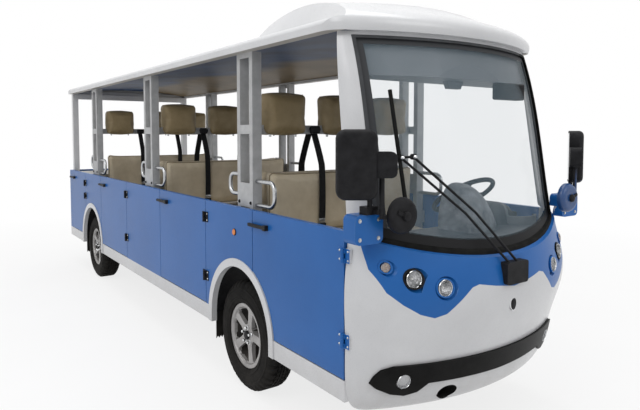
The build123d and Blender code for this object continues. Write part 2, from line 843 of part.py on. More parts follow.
def armrest(x, z_top, z_low, reach, y):
    """A tube loop that leaves the pillar's leg, turns down and comes back lower."""
    path = FilletPolyline((x, y, z_top), (x + reach, y, z_top), (x + reach, y, z_low), (x, y, z_low),
                          radius=armrest_bend)
    ring = Plane(origin=(x, y, z_top), z_dir=(1 if reach > 0 else -1, 0, 0)) * Circle(armrest_radius)
    return sweep(ring, path=path)


def armrests():
    loops = []
    for x in pillar_x:
        front = armrest(x + pillar_half_length, 1250, 1112, 200, armrest_y)
        back = armrest(x - pillar_half_length, 1280, 1160, -150, armrest_y)
        loops += both(front) + both(back)
    node("armrests", loops)


def rear_end():
    post_in = half_width - wall - post_size
    post_out = half_width - wall
    x0 = -half_length + wall
    x1 = x0 + post_size
    frame = block(x0, x1, -post_out, post_out, rail_bottom_z - post_size, rail_bottom_z)
    for side in (-1, 1):
        frame = frame + block(x0, x1, side * post_in, side * post_out, floor_z, rail_bottom_z)
    node("rear_frame", [frame])
    panel = block(-half_length, x0, wall - half_width, half_width - wall, 320, belt_z)
    node("rear_panel", [panel])
    deck = block(x1 + seat_fit, pillar_x[2] - 200, -660, 660, deck_z - 30, deck_z)
    for side in (-1, 1):
        deck = deck + block(x1 + seat_fit, x1 + 40, side * 600, side * 640, floor_z, deck_z)
        deck = deck + block(pillar_x[2] - 240, pillar_x[2] - 200, side * 600, side * 640, 800, deck_z)
    for side in (-1, 1):
        deck = deck - arch_void(rear_axle_x, well_outer_radius + seat_fit, side * 300, side * 720)
    node("rear_deck", [deck])
    node("mudflaps", mudflap_set())


def mudflap_set():
    """Rubber flaps behind the wheels, with a toothed lower edge."""
    flaps = []
    low = 205
    inner = 560
    outer = half_width - wall
    teeth = 7
    step = (outer - inner) / teeth
    for x in (front_axle_x, rear_axle_x):
        back = x - arch_inner_radius - well_gap
        outline = [(outer, arch_z), (inner, arch_z)]
        for i in range(teeth):
            outline += [(inner + i * step, low), (inner + (i + 0.5) * step, low + 14)]
        outline.append((outer, low))
        flaps += both(prism_x(outline, back, back + 5))
    return flaps


def front_inside():
    """Dashboard with its instrument hood and a round well, the panel overhead, and the steering."""
    inner_nose = plan_loft(nose_levels, loft_back_x, wall)
    inner_screen = plan_loft(screen_levels, loft_back_x, 40)
    dash = block(2300, 2700, -690, 690, 800, 935) & inner_nose
    dash = dash + (block(2300, 2760, -680, 680, 935, dash_top_z) & inner_screen)
    hood = cylinder_x(hood_radius, 2300, hood_front_x, *hood_centre)
    hood = fillet(hood.edges().group_by(Axis.X)[-1], hood_round)
    hood = hood & block(2300, 2760, 0, 690, dash_top_z - 10, 1300)
    well_x, well_y = well_centre
    well = cylinder_z(dash_well_radius, dash_top_z - 10, dash_top_z + dash_well_rise, well_x, well_y)
    bore = cylinder_z(dash_well_radius - dash_well_wall, dash_top_z - 40, dash_top_z + dash_well_rise + 1, well_x, well_y)
    limit = block(2200, 2760, -690, 690, 800, 1300) & inner_screen
    dash = (dash + (hood & limit) + (well & limit)) - bore
    wheel_x, wheel_y, wheel_z = steering_centre
    tilt = Rot(0, -steering_tilt, 0)
    column = Pos(wheel_x, wheel_y, wheel_z) * tilt * Pos(0, 0, -15.4 - 140) * Cylinder(28, 280)
    node("dashboard", [dash - column])
    header = block(2330, 2600, -600, 600, 1790, rail_bottom_z)
    speaker = block(2440, 2560, 380, 560, 1755, 1860)
    mount = prism_x([(-60, 1790), (60, 1790), (42, 1752), (-42, 1752)], 2470, 2500)
    header = (header + speaker + mount) & plan_loft(screen_levels, loft_back_x, 40 + seat_fit)
    node("overhead_panel", [header])
    node("steering_column", [column])
    ring = Torus(190, 14)
    hub = Cylinder(45, 30)
    wheel = ring + hub
    for i in range(3):
        spoke = Pos(95, 0, 0) * Box(180, 26, 10)
        wheel = wheel + Rot(0, 0, 90 + 120 * i) * spoke
    wheel = Pos(wheel_x, wheel_y, wheel_z) * tilt * wheel
    node("steering_wheel", [wheel])


def mirror_head():
    """A tall rounded box that is softer at its back, turned outward."""
    head = rounded(Box(*mirror_head_size), mirror_head_round, Axis.X)
    head = fillet(head.edges().group_by(Axis.X)[-1], mirror_back_round)
    return Pos(*mirror_head_centre) * Rot(0, 0, mirror_yaw) * head


def mirrors():
    """Each side's door mirror and wide-angle mirror, on the pod at the nose's corner."""
    x0, x1, y0, y1, z0, z1 = pod_box
    body = plan_loft(screen_levels, loft_back_x) + plan_loft(nose_levels, loft_back_x)
    pod = rounded(block(x0, x1, y0, y1, z0, z1), pod_round, Axis.X) - body
    node("mirror_pods", both(pod.solids().sort_by(SortBy.VOLUME)[-1]))
    head = mirror_head()
    housing = rounded(Box(*mirror_housing_size), mirror_back_round, Axis.X)
    housing = Pos(*mirror_housing_centre) * Rot(0, 0, mirror_yaw) * housing
    top = z1 + seat_fit
    half_x, half_y = shackle_half
    mid_x, mid_y = shackle_centre
    pole_x, pole_y = head_pole
    inner_x, inner_y = housing_pole
    shackle = block(mid_x - half_x, mid_x + half_x, mid_y - half_y, mid_y + half_y, top, top + shackle_height)
    rx, ry, rz = round_mirror_centre
    disc = cylinder_x(round_mirror_radius, rx - round_mirror_rim, rx + round_mirror_dome, ry, rz)
    disc = fillet(disc.edges().group_by(Axis.X)[-1], round_mirror_dome)
    mirror_set = head + housing + shackle
    mirror_set = mirror_set + cylinder_z(mirror_pole_radius, top + 10, mirror_head_centre[2], pole_x, pole_y)
    mirror_set = mirror_set + cylinder_z(mirror_pole_radius, rz - 8, mirror_housing_centre[2], inner_x, inner_y)
    mirror_set = mirror_set + block(mid_x, inner_x, inner_y - 5, mid_y, top + 4, top + 20)
    mirror_set = mirror_set + block(inner_x - 6, rx - 2, ry, inner_y + 4, rz - 7, rz + 7)
    mirror_set = mirror_set + disc
    node("mirrors", both(mirror_set))


def bent_rod(start, knee, end, radius, bend):
    """A round rod along two straight runs."""
    path = FilletPolyline(start, knee, end, radius=bend)
    run = Vector(*knee) - Vector(*start)
    return sweep(Plane(origin=start, z_dir=run) * Circle(radius), path=path)


def straight_bar(start, end, wide, deep):
    """A flat bar between two points, its width across the bus."""
    run = Vector(*end) - Vector(*start)
    plane = Plane(origin=start, x_dir=(0, 1, 0), z_dir=run)
    return extrude(plane * Rectangle(wide, deep), amount=run.length)


def wiper():
    """A block on the mask, two parallel arms and the blade that lies on the glass."""
    x0, x1, y0, y1, z0, z1 = wiper_block
    block_solid = rounded(block(x0, x1, y0, y1, z0, z1), 14, Axis.X)
    block_solid = block_solid - plan_loft(nose_levels, loft_back_x) - plan_loft(screen_levels, loft_back_x, -seal_proud)
    tool = block_solid.solids().sort_by(SortBy.VOLUME)[-1]
    for foot, knee, nut in zip(wiper_feet, wiper_knees, wiper_nuts):
        tool = tool + bent_rod(foot, knee, nut, wiper_arm_radius, 150)
        tool = tool + Pos(*nut) * Rot(0, 90, 0) * Cylinder(13, 20)
    tool = tool + straight_bar(wiper_nuts[0], wiper_nuts[1], 20, 10)
    top, low = wiper_blade
    tool = tool + straight_bar(top, low, 14, 12)
    node("wiper", [tool])


def tail_lamps():
    """Tall lamp boxes on the rear panel."""
    wide, tall = tail_lamp_half
    rear = -half_length - tail_lamp_proud
    lamp = block(rear, -half_length, tail_lamp_y - wide, tail_lamp_y + wide, tail_lamp_z - tall, tail_lamp_z + tall)
    node("tail_lamps", both(rounded(lamp, 18, Axis.X)))


def ceiling():
    """A thin board that rises from the roof rails to a crown."""
    edge = half_width - 62
    rear = -half_length + 62
    front = cap_seam_x - 60
    low = ceiling_edge_z
    high = low + ceiling_thick
    crown = ceiling_crown_rise
    outline = Wire([
        ThreePointArc((rear, -edge, low), (rear, 0, low + crown), (rear, edge, low)),
        Line((rear, edge, low), (rear, edge, high)),
        ThreePointArc((rear, edge, high), (rear, 0, high + crown), (rear, -edge, high)),
        Line((rear, -edge, high), (rear, -edge, low)),
    ])
    node("ceiling", [extrude(make_face(outline), amount=front - rear, dir=(1, 0, 0))])


body_shells()
wheel_nodes()
knuckles_and_axles()
chassis()
sills()
side_nodes()
pillars()
seats()
seat_belts()
armrests()
rear_end()
front_inside()
mirrors()
wiper()
tail_lamps()
ceiling()
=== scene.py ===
"""Looks of the open-sided airport shuttle bus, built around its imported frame. Metres, +X forward, +Z up."""
import math

import bmesh
import bpy
from mathutils import Matrix, Vector
from mathutils.bvhtree import BVHTree


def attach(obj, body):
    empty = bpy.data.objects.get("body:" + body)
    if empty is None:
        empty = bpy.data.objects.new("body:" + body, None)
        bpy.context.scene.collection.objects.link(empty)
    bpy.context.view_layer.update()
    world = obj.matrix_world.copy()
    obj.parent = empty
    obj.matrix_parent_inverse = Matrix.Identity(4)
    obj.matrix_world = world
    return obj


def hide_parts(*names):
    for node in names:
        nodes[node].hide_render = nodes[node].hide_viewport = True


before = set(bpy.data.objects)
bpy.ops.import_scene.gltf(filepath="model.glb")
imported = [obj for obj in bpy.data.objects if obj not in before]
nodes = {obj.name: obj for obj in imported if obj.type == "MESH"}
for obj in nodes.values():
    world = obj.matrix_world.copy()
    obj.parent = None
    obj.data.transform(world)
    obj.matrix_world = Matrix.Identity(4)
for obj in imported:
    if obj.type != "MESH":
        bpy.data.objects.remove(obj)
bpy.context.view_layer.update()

# Places that the pieces below share with the frame
FRONT_AXLE_X = 1.5
REAR_AXLE_X = -1.88
TYRE_RADIUS = 0.325
WHEEL_Y = 0.607
PILLARS_X = (1.5, -0.2, -1.9)

# The photograph's camera, in pixels and degrees
PHOTO_WIDTH, PHOTO_HEIGHT = 640, 410
FOCAL_LENGTH = 581.84
AXIS_U, AXIS_V = 328.73, 166.26
CAMERA_PLACE = (4.5489, -2.2661, 1.5208)
YAW, PITCH, ROLL = 35.696, 3.157, 0.060


def placed(name, data):
    """A new object in the scene."""
    obj = bpy.data.objects.new(name, data)
    bpy.context.scene.collection.objects.link(obj)
    return obj


def aim_camera():
    yaw, pitch, roll = (math.radians(angle) for angle in (YAW, PITCH, ROLL))
    forward = Vector((-math.cos(yaw) * math.cos(pitch), math.sin(yaw) * math.cos(pitch), -math.sin(pitch)))
    right = Vector((math.sin(yaw), math.cos(yaw), 0))
    up = right.cross(forward)
    right_rolled = math.cos(roll) * right + math.sin(roll) * up
    up_rolled = math.cos(roll) * up - math.sin(roll) * right
    data = bpy.data.cameras.new("photo_camera")
    data.sensor_width = 36
    data.lens = FOCAL_LENGTH * data.sensor_width / PHOTO_WIDTH
    data.shift_x = (PHOTO_WIDTH / 2 - AXIS_U) / PHOTO_WIDTH
    data.shift_y = (AXIS_V - PHOTO_HEIGHT / 2) / PHOTO_WIDTH
    camera = placed("photo_camera", data)
    axes = Matrix((right_rolled, up_rolled, -forward)).transposed().to_4x4()
    camera.matrix_world = Matrix.Translation(CAMERA_PLACE) @ axes
    bpy.context.scene.camera = camera


# Materials
TEXTURES = {"noise": ("ShaderNodeTexNoise", "Fac"), "cells": ("ShaderNodeTexVoronoi", "Distance")}


class Graph:
    """A node tree with a short call for each kind of node used below. A value is a socket, a number or a colour."""

    def __init__(self, tree):
        self.nodes, self.links = tree.nodes, tree.links

    def feed(self, value, socket):
        if isinstance(value, bpy.types.NodeSocket):
            self.links.new(value, socket)
        else:
            socket.default_value = (*value, 1) if isinstance(value, tuple) else value

    def place(self):
        return self.nodes.new("ShaderNodeTexCoord").outputs["Object"]

    def split(self, vector):
        node = self.nodes.new("ShaderNodeSeparateXYZ")
        self.feed(vector, node.inputs[0])
        return node.outputs

    def texture(self, kind, place, **values):
        node_type, output = TEXTURES[kind]
        node = self.nodes.new(node_type)
        self.feed(place, node.inputs["Vector"])
        for socket, value in values.items():
            self.feed(value, node.inputs[socket])
        return node.outputs[output]

    def ramp(self, factor, dark, light, low=0.32, high=0.68):
        """A colour that goes from dark to light between two levels of a factor."""
        node = self.nodes.new("ShaderNodeValToRGB")
        for element, level, colour in zip(node.color_ramp.elements, (low, high), (dark, light)):
            element.position = level
            element.color = (*colour, 1)
        self.feed(factor, node.inputs["Fac"])
        return node.outputs["Color"]

    def spread(self, factor, low, high, start=0.0, end=1.0):
        """A number that goes from low to high as a factor goes from start to end."""
        node = self.nodes.new("ShaderNodeMapRange")
        for value, socket in zip((factor, start, end, low, high), node.inputs):
            self.feed(value, socket)
        return node.outputs["Result"]

    def relief(self, height, depth):
        node = self.nodes.new("ShaderNodeBump")
        self.feed(depth, node.inputs["Distance"])
        self.feed(height, node.inputs["Height"])
        return node.outputs["Normal"]

    def maths(self, operation, first, second=0.5):
        node = self.nodes.new("ShaderNodeMath")
        node.operation = operation
        self.feed(first, node.inputs[0])
        self.feed(second, node.inputs[1])
        return node.outputs[0]

    def vector_maths(self, operation, *vectors):
        node = self.nodes.new("ShaderNodeVectorMath")
        node.operation = operation
        for vector, socket in zip(vectors, node.inputs):
            self.feed(vector, socket)
        return node.outputs["Value"]

    def mixed(self, factor, first, second):
        """Two colours mixed by a factor."""
        node = self.nodes.new("ShaderNodeMix")
        node.data_type = "RGBA"
        for value, socket in ((factor, 0), (first, 6), (second, 7)):
            self.feed(value, node.inputs[socket])
        return node.outputs[2]

    def blend(self, factor, first, second):
        """Two shaders mixed by a factor."""
        node = self.nodes.new("ShaderNodeMixShader")
        for value, socket in zip((factor, first, second), node.inputs):
            self.feed(value, socket)
        return node.outputs[0]

    def seen(self):
        """1 where the camera sees the surface itself, in a reflection or through glass, 0 for its light."""
        rays = self.nodes.new("ShaderNodeLightPath").outputs
        direct = self.maths("MAXIMUM", rays["Is Camera Ray"], rays["Is Glossy Ray"])
        return self.maths("MAXIMUM", direct, rays["Is Transmission Ray"])


def new_material(name):
    """A material, its graph and the sockets of its shader."""
    material = bpy.data.materials.new(name)
    material.use_nodes = True
    graph = Graph(material.node_tree)
    return material, graph, graph.nodes["Principled BSDF"].inputs


def edge_mask(graph, place, radius):
    """1 in broken patches along sharp edges, 0 elsewhere."""
    bevel = graph.nodes.new("ShaderNodeBevel")
    bevel.samples = 4
    graph.feed(radius, bevel.inputs["Radius"])
    surface = graph.nodes.new("ShaderNodeNewGeometry")
    facing = graph.vector_maths("DOT_PRODUCT", bevel.outputs["Normal"], surface.outputs["Normal"])
    edge = graph.spread(facing, 1.0, 0.0, 0.80, 0.98)
    patch = graph.texture("noise", place, Scale=38.0, Detail=4.0)
    return graph.maths("MULTIPLY", edge, graph.spread(patch, 0.0, 1.0, 0.42, 0.66))


def dust_mask(graph, place, amount, top):
    """Road dust that fades upwards from the ground and gathers in patches."""
    height = graph.spread(graph.split(place)[2], amount, 0.0, 0.05, top)
    patch = graph.texture("noise", place, Scale=9.0, Detail=6.0, Roughness=0.65)
    return graph.maths("MULTIPLY", height, graph.spread(patch, 0.35, 1.0, 0.35, 0.65))


def finish(name, dark, light, blotch, gloss, grain, wear=None, dust=None, **values):
    """Two tones in soft blotches, worn edges, low dust, and a fine grain that moves both gloss and relief.

    blotch is a scale, gloss a range of roughness, grain (kind, scale, depth), wear (colour, radius) and dust
    (amount, height at which it ends).
    """
    material, graph, inputs = new_material(name)
    place = graph.place()
    colour = graph.ramp(graph.texture("noise", place, Scale=blotch, Detail=5.0, Roughness=0.6), dark, light)
    if wear is not None:
        worn, radius = wear
        colour = graph.mixed(edge_mask(graph, place, radius), colour, worn)
    if dust is not None:
        colour = graph.mixed(dust_mask(graph, place, *dust), colour, DUST)
    graph.feed(colour, inputs["Base Color"])
    kind, scale, depth = grain
    fine = graph.texture(kind, place, Scale=scale)
    graph.feed(graph.spread(fine, *gloss, 0.2, 0.8), inputs["Roughness"])
    graph.feed(graph.relief(fine, depth), inputs["Normal"])
    for socket, value in values.items():
        inputs[socket.replace("_", " ")].default_value = value
    return material


DUST = (0.30, 0.265, 0.23)
white = finish("white_moulding", (0.57, 0.575, 0.59), (0.64, 0.645, 0.66), 2.2, (0.24, 0.36), ("noise", 260, 0.0002),
               dust=(0.55, 0.50), Coat_Weight=0.25, Coat_Roughness=0.12)
blue = finish("blue_paint", (0.008, 0.100, 0.345), (0.013, 0.120, 0.400), 1.6, (0.30, 0.44), ("noise", 320, 0.0002),
              wear=((0.10, 0.24, 0.52), 0.003), dust=(0.22, 0.50), Coat_Weight=0.12, Coat_Roughness=0.15,
              Specular_IOR_Level=0.22)
# A darker copy of the blue paint, used as painted shade on the far round mirror's back.
painted_shade_blue = finish("painted_shade_blue", (0.008, 0.048, 0.16), (0.014, 0.062, 0.20), 4, (0.3, 0.45), ("noise", 320, 0.0002),
                   Coat_Weight=0.2)
grey_paint = finish("pillar_paint", (0.37, 0.375, 0.38), (0.47, 0.475, 0.48), 14, (0.36, 0.54), ("noise", 420, 0.0003),
                    wear=((0.56, 0.56, 0.56), 0.003), Metallic=0.10)
leather = finish("tan_leather", (0.54, 0.455, 0.32), (0.69, 0.60, 0.45), 7, (0.40, 0.58), ("cells", 380, 0.0006),
                 Sheen_Weight=0.08)
rest_leather = finish("rest_leather", (0.24, 0.178, 0.085), (0.34, 0.258, 0.138), 9, (0.38, 0.56),
                      ("cells", 380, 0.0006), Sheen_Weight=0.06)
dark_plastic = finish("dark_plastic", (0.008, 0.008, 0.009), (0.018, 0.018, 0.020), 22, (0.40, 0.56),
                      ("cells", 520, 0.0004), wear=((0.04, 0.04, 0.042), 0.002), Specular_IOR_Level=0.12)
strip_plastic = finish("strip_plastic", (0.004, 0.004, 0.004), (0.009, 0.009, 0.009), 14, (0.34, 0.50),
                       ("noise", 420, 0.0003), wear=((0.04, 0.04, 0.04), 0.002), dust=(0.06, 0.45),
                       Specular_IOR_Level=0.07)
dash_plastic = finish("dash_plastic", (0.020, 0.022, 0.026), (0.075, 0.080, 0.090), 11, (0.42, 0.6),
                      ("cells", 480, 0.0004), Specular_IOR_Level=0.35)
panel_plastic = finish("panel_plastic", (0.13, 0.14, 0.152), (0.17, 0.18, 0.195), 6, (0.45, 0.6),
                       ("cells", 460, 0.0004))
cowl_plastic = finish("cowl_plastic", (0.09, 0.098, 0.11), (0.27, 0.285, 0.305), 19, (0.42, 0.6),
                      ("cells", 300, 0.0006), wear=((0.42, 0.43, 0.45), 0.003))
black_steel = finish("black_steel", (0.014, 0.014, 0.015), (0.032, 0.030, 0.028), 12, (0.5, 0.75),
                     ("noise", 150, 0.0006), wear=((0.10, 0.085, 0.07), 0.003), dust=(0.35, 0.60),
                     Specular_IOR_Level=0.25)
cast_steel = finish("cast_steel", (0.05, 0.05, 0.05), (0.09, 0.085, 0.08), 30, (0.55, 0.75), ("noise", 240, 0.0012),
                    dust=(0.35, 0.60), Metallic=0.6)
tube_steel = finish("bright_tube", (0.42, 0.43, 0.44), (0.56, 0.57, 0.58), 18, (0.2, 0.36), ("noise", 500, 0.0002),
                    Metallic=1.0)
alloy = finish("alloy", (0.31, 0.30, 0.297), (0.42, 0.41, 0.403), 16, (0.3, 0.45), ("noise", 700, 0.0003),
               wear=((0.72, 0.71, 0.70), 0.002), dust=(0.20, 0.40), Metallic=0.3)
rubber = finish("black_rubber", (0.006, 0.006, 0.006), (0.013, 0.013, 0.012), 18, (0.6, 0.85), ("noise", 180, 0.0008),
                dust=(0.10, 0.40), Specular_IOR_Level=0.08)
seal_rubber = finish("seal_rubber", (0.036, 0.038, 0.042), (0.058, 0.061, 0.066), 12, (0.5, 0.7),
                     ("noise", 260, 0.0005), Specular_IOR_Level=0.25)
tyre_rubber = finish("tyre_rubber", (0.007, 0.007, 0.007), (0.015, 0.0145, 0.014), 9, (0.62, 0.88),
                     ("noise", 130, 0.0009), wear=((0.030, 0.029, 0.027), 0.003), dust=(0.045, 0.70),
                     Specular_IOR_Level=0.07)
webbing = finish("black_webbing", (0.006, 0.006, 0.007), (0.015, 0.015, 0.017), 60, (0.6, 0.8), ("cells", 900, 0.0006),
                 Specular_IOR_Level=0.2)
mat_rubber = finish("floor_mat", (0.06, 0.06, 0.065), (0.09, 0.09, 0.095), 5, (0.6, 0.85), ("noise", 90, 0.001))


def ceiling_material():
    """Tan board with a soft plain blue field along one side, whose edge wanders a little."""
    material, graph, inputs = new_material("ceiling_board")
    place = graph.place()
    wander = graph.texture("noise", place, Scale=0.8, Detail=2.0)
    cloud = graph.texture("noise", place, Scale=3.5, Detail=5.0)
    edge = graph.maths("ADD", graph.split(place)[1], graph.spread(wander, -0.5, 0.5))
    share = graph.spread(edge, 1.0, 0.0, -0.05, 0.12)
    tan = graph.ramp(cloud, (0.135, 0.096, 0.048), (0.205, 0.150, 0.082))
    sky = graph.ramp(cloud, (0.008, 0.026, 0.075), (0.022, 0.060, 0.150))
    graph.feed(graph.mixed(share, tan, sky), inputs["Base Color"])
    grain = graph.texture("noise", place, Scale=220.0)
    graph.feed(graph.spread(grain, 0.38, 0.58), inputs["Roughness"])
    graph.feed(graph.relief(grain, 0.0004), inputs["Normal"])
    inputs["Specular IOR Level"].default_value = 0.12
    return material


board = ceiling_material()
pale_board = finish("deck_board", (0.52, 0.50, 0.46), (0.62, 0.60, 0.56), 4, (0.4, 0.6), ("noise", 200, 0.0004))
piping_leather = finish("piping_leather", (0.21, 0.165, 0.10), (0.28, 0.225, 0.145), 9, (0.45, 0.6),
                        ("cells", 500, 0.0005))
pale_panel = finish("pale_panel", (0.30, 0.29, 0.265), (0.37, 0.36, 0.335), 5, (0.45, 0.6), ("noise", 240, 0.0003))
bulb_white = finish("bulb_white", (0.75, 0.75, 0.72), (0.85, 0.85, 0.82), 40, (0.1, 0.2), ("noise", 300, 0.0001))
mirror_silver = finish("mirror_silver", (0.46, 0.48, 0.50), (0.52, 0.54, 0.56), 6, (0.02, 0.05),
                       ("noise", 30, 0.00005), Metallic=1.0)
amber = finish("amber_lens", (0.62, 0.16, 0.02), (0.78, 0.24, 0.04), 60, (0.12, 0.25), ("cells", 300, 0.0004))
red_lens = finish("red_lens", (0.36, 0.010, 0.010), (0.50, 0.02, 0.018), 40, (0.12, 0.25), ("cells", 220, 0.0005))
# A darker warm grey for the roof rails' downward faces: painted shade.
rail_underside_shade = finish("rail_underside_shade", (0.36, 0.34, 0.31), (0.44, 0.42, 0.39), 5, (0.4, 0.6), ("noise", 200, 0.0003))
chrome = finish("chrome", (0.62, 0.63, 0.64), (0.78, 0.79, 0.80), 40, (0.08, 0.16), ("noise", 300, 0.0001),
                Metallic=1.0)


# Where the windscreen's black band begins: at its sides, at its top, and above its sloping foot
BAND_Y = 0.583
BAND_TOP_Z = 1.932
FOOT_X, FOOT_Z, FOOT_SLOPE = 2.876, 0.944, 0.5
BAND_RISE = 0.050


def glass_material():
    """Pale tinted glass with a black band round its edge."""
    material, graph, inputs = new_material("tinted_glass")
    place = graph.place()
    x, y, z = graph.split(place)
    sides = graph.maths("GREATER_THAN", graph.maths("ABSOLUTE", y), BAND_Y)
    top = graph.maths("GREATER_THAN", z, BAND_TOP_Z)
    base_line = graph.maths("ADD", z, graph.maths("MULTIPLY", x, FOOT_SLOPE))
    base = graph.maths("LESS_THAN", base_line, FOOT_Z + FOOT_SLOPE * FOOT_X + BAND_RISE)
    band = graph.maths("MAXIMUM", graph.maths("MAXIMUM", sides, top), base)
    cloud = graph.texture("noise", place, Scale=3.0, Detail=3.0)
    tint = graph.ramp(cloud, (0.25, 0.36, 0.43), (0.31, 0.41, 0.48), 0.3, 0.7)
    edge_tone = graph.mixed(base, (0.040, 0.042, 0.046), (0.004, 0.004, 0.005))
    graph.feed(graph.mixed(band, tint, edge_tone), inputs["Base Color"])
    graph.feed(graph.spread(band, 0.13, 1.0), inputs["Alpha"])
    graph.feed(graph.spread(band, 0.05, 0.62), inputs["Roughness"])
    inputs["Specular IOR Level"].default_value = 0.25
    inputs["IOR"].default_value = 1.5
    return material


glass = glass_material()
lens_glass = finish("lens_glass", (0.42, 0.44, 0.46), (0.60, 0.62, 0.64), 30, (0.03, 0.08), ("cells", 160, 0.0006),
                    Alpha=0.09)
warm_lens = finish("warm_lens", (0.52, 0.42, 0.36), (0.68, 0.58, 0.51), 60, (0.05, 0.12), ("cells", 260, 0.0006),
                   Alpha=0.38)
# The bowls' near-black and near-white blotches are painted reflections.
bowl_painted_reflections = finish("lamp_bowl_painted_reflections", (0.012, 0.013, 0.015), (0.92, 0.92, 0.94), 34, (0.16, 0.30),
                   ("cells", 150, 0.0020), Metallic=0.6, Specular_IOR_Level=0.2)


def paint(material, *names):
    for name in names:
        mesh = nodes[name].data
        mesh.materials.clear()
        mesh.materials.append(material)


WHEELS = {"front_left": (FRONT_AXLE_X, 1), "front_right": (FRONT_AXLE_X, -1),
          "rear_left": (REAR_AXLE_X, 1), "rear_right": (REAR_AXLE_X, -1)}
DOOR_NODES = ["door_%s_%s" % (door, side) for door in ("front", "second", "third", "rear")
              for side in ("left", "right")]
paint(white, "front_body", "front_cap", "roof_panel", "roof_rails", "sills_and_arches", "rear_frame")
paint(blue, "front_mask", "mirror_pods", "side_panels_left", "side_panels_right", "rear_panel", *DOOR_NODES)
paint(glass, "windscreen")
paint(board, "ceiling")
paint(pale_board, "rear_deck")
paint(panel_plastic, "overhead_panel")
paint(pale_panel, "seat_bases")
paint(grey_paint, "pillars")
paint(leather, "headrests", "seat_backs", "seat_cushions")
paint(tube_steel, "armrests")
paint(webbing, "seat_belts")
paint(dash_plastic, "dashboard")
paint(dark_plastic, "mirrors", "wiper", "wheel_wells", "lamp_rims", "steering_column", "steering_wheel")
paint(strip_plastic, "bumper_strip")
paint(lens_glass, "lamps")
paint(rubber, "mudflaps")
paint(seal_rubber, "windscreen_seal")
paint(red_lens, "tail_lamps")
paint(mat_rubber, "floor")
paint(black_steel, "chassis_frame", "front_axle", "rear_axle", "battery_pack")
paint(cast_steel, "knuckle_left", "knuckle_right")
paint(tyre_rubber, *["tyre_" + w for w in WHEELS])
paint(alloy, *["rim_" + w for w in WHEELS])


# Mesh helpers
def link(name, mesh, material, body="root"):
    """A new piece from a mesh, which rides on a body and takes its finish from a slot."""
    mesh.name = name
    obj = placed(name, mesh)
    if not mesh.materials:
        mesh.materials.append(material)
    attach(obj, body)
    return obj


def link_all(name, meshes, material, body="root"):
    """A new piece from several meshes."""
    return link(name, merged(meshes), material, body)


def moved(x, y, z):
    return Matrix.Translation((x, y, z))


def finished(work, turn=None, angle=35):
    """A bmesh's mesh, moved by a matrix, with smooth shading that keeps edges sharper than the angle."""
    mesh = bpy.data.meshes.new("piece")
    work.to_mesh(mesh)
    work.free()
    if turn is not None:
        mesh.transform(turn)
    limit = math.radians(angle)
    work = bmesh.new()
    work.from_mesh(mesh)
    for face in work.faces:
        face.smooth = True
    for edge in work.edges:
        edge.smooth = len(edge.link_faces) != 2 or edge.calc_face_angle(0) < limit
    work.to_mesh(mesh)
    work.free()
    return mesh


def closed(work, turn=None, angle=35):
    """The same for a closed body, whose normals are first turned outwards."""
    bmesh.ops.recalc_face_normals(work, faces=work.faces)
    return finished(work, turn, angle)


def circle(count):
    """The cosine and sine of evenly spaced angles."""
    angles = [2 * math.pi * i / count for i in range(count)]
    return [(math.cos(angle), math.sin(angle)) for angle in angles]


def bridge(work, rings):
    """Faces between each ring of vertices and the next, where a ring may be a single vertex."""
    for one, two in zip(rings, rings[1:]):
        count = max(len(one), len(two))
        for i in range(count):
            j = (i + 1) % count
            corners = (one[i % len(one)], one[j % len(one)], two[j % len(two)], two[i % len(two)])
            unique = list(dict.fromkeys(corners))
            if len(unique) > 2:
                work.faces.new(unique)


def turned(profile, segments=32, turn=None):
    """A body of revolution about +Z from (radius, height) points, moved by a matrix."""
    work = bmesh.new()
    rings = []
    for radius, height in profile:
        spokes = circle(segments if radius > 0 else 1)
        rings.append([work.verts.new((radius * c, radius * s, height)) for c, s in spokes])
    bridge(work, rings)
    return closed(work, turn)


def merged(meshes):
    """One mesh from several."""
    work = bmesh.new()
    for mesh in meshes:
        work.from_mesh(mesh)
    return finished(work)


def soft_box(size, radius, segments=3, turn=None):
    """A box with rounded edges."""
    work = bmesh.new()
    bmesh.ops.create_cube(work, size=1)
    bmesh.ops.scale(work, vec=size, verts=work.verts)
    bmesh.ops.bevel(work, geom=list(work.edges), offset=radius, segments=segments, profile=0.5, affect="EDGES")
    return finished(work, turn)


def pointing(direction, place, roll=0.0):
    """The matrix that turns +Z to a direction and moves it to a place."""
    turn = Vector(direction).to_track_quat("Z", "Y").to_matrix().to_4x4()
    return Matrix.Translation(place) @ turn @ Matrix.Rotation(roll, 4, "Z")


def hex_bolt(radius, height, direction, place, roll=0.0):
    """A hexagon head on a washer."""
    washer = turned([(0, 0), (radius * 1.35, 0), (radius * 1.35, height * 0.2), (0, height * 0.2)], 16,
                    pointing(direction, place))
    head = turned([(0, height * 0.2), (radius, height * 0.2), (radius, height * 0.85), (radius * 0.8, height),
                   (0, height)], 6, pointing(direction, place, roll))
    return merged([washer, head])


def dome_bolt(radius, height, direction, place):
    profile = [(0, 0), (radius, 0), (radius * 0.94, height * 0.45), (radius * 0.66, height * 0.85), (0, height)]
    return turned(profile, 14, pointing(direction, place))


def surface(mesh):
    return BVHTree.FromPolygons([v.co for v in mesh.vertices], [p.vertices for p in mesh.polygons])


# Soft seats, backs and headrests
CLOTH_FRAMES = 20
CLOTH_STIFFNESS = 12


def evaluated_mesh(obj):
    depsgraph = bpy.context.evaluated_depsgraph_get()
    return bpy.data.meshes.new_from_object(obj.evaluated_get(depsgraph))


def smooth_faces(mesh):
    for polygon in mesh.polygons:
        polygon.use_smooth = True
    return mesh


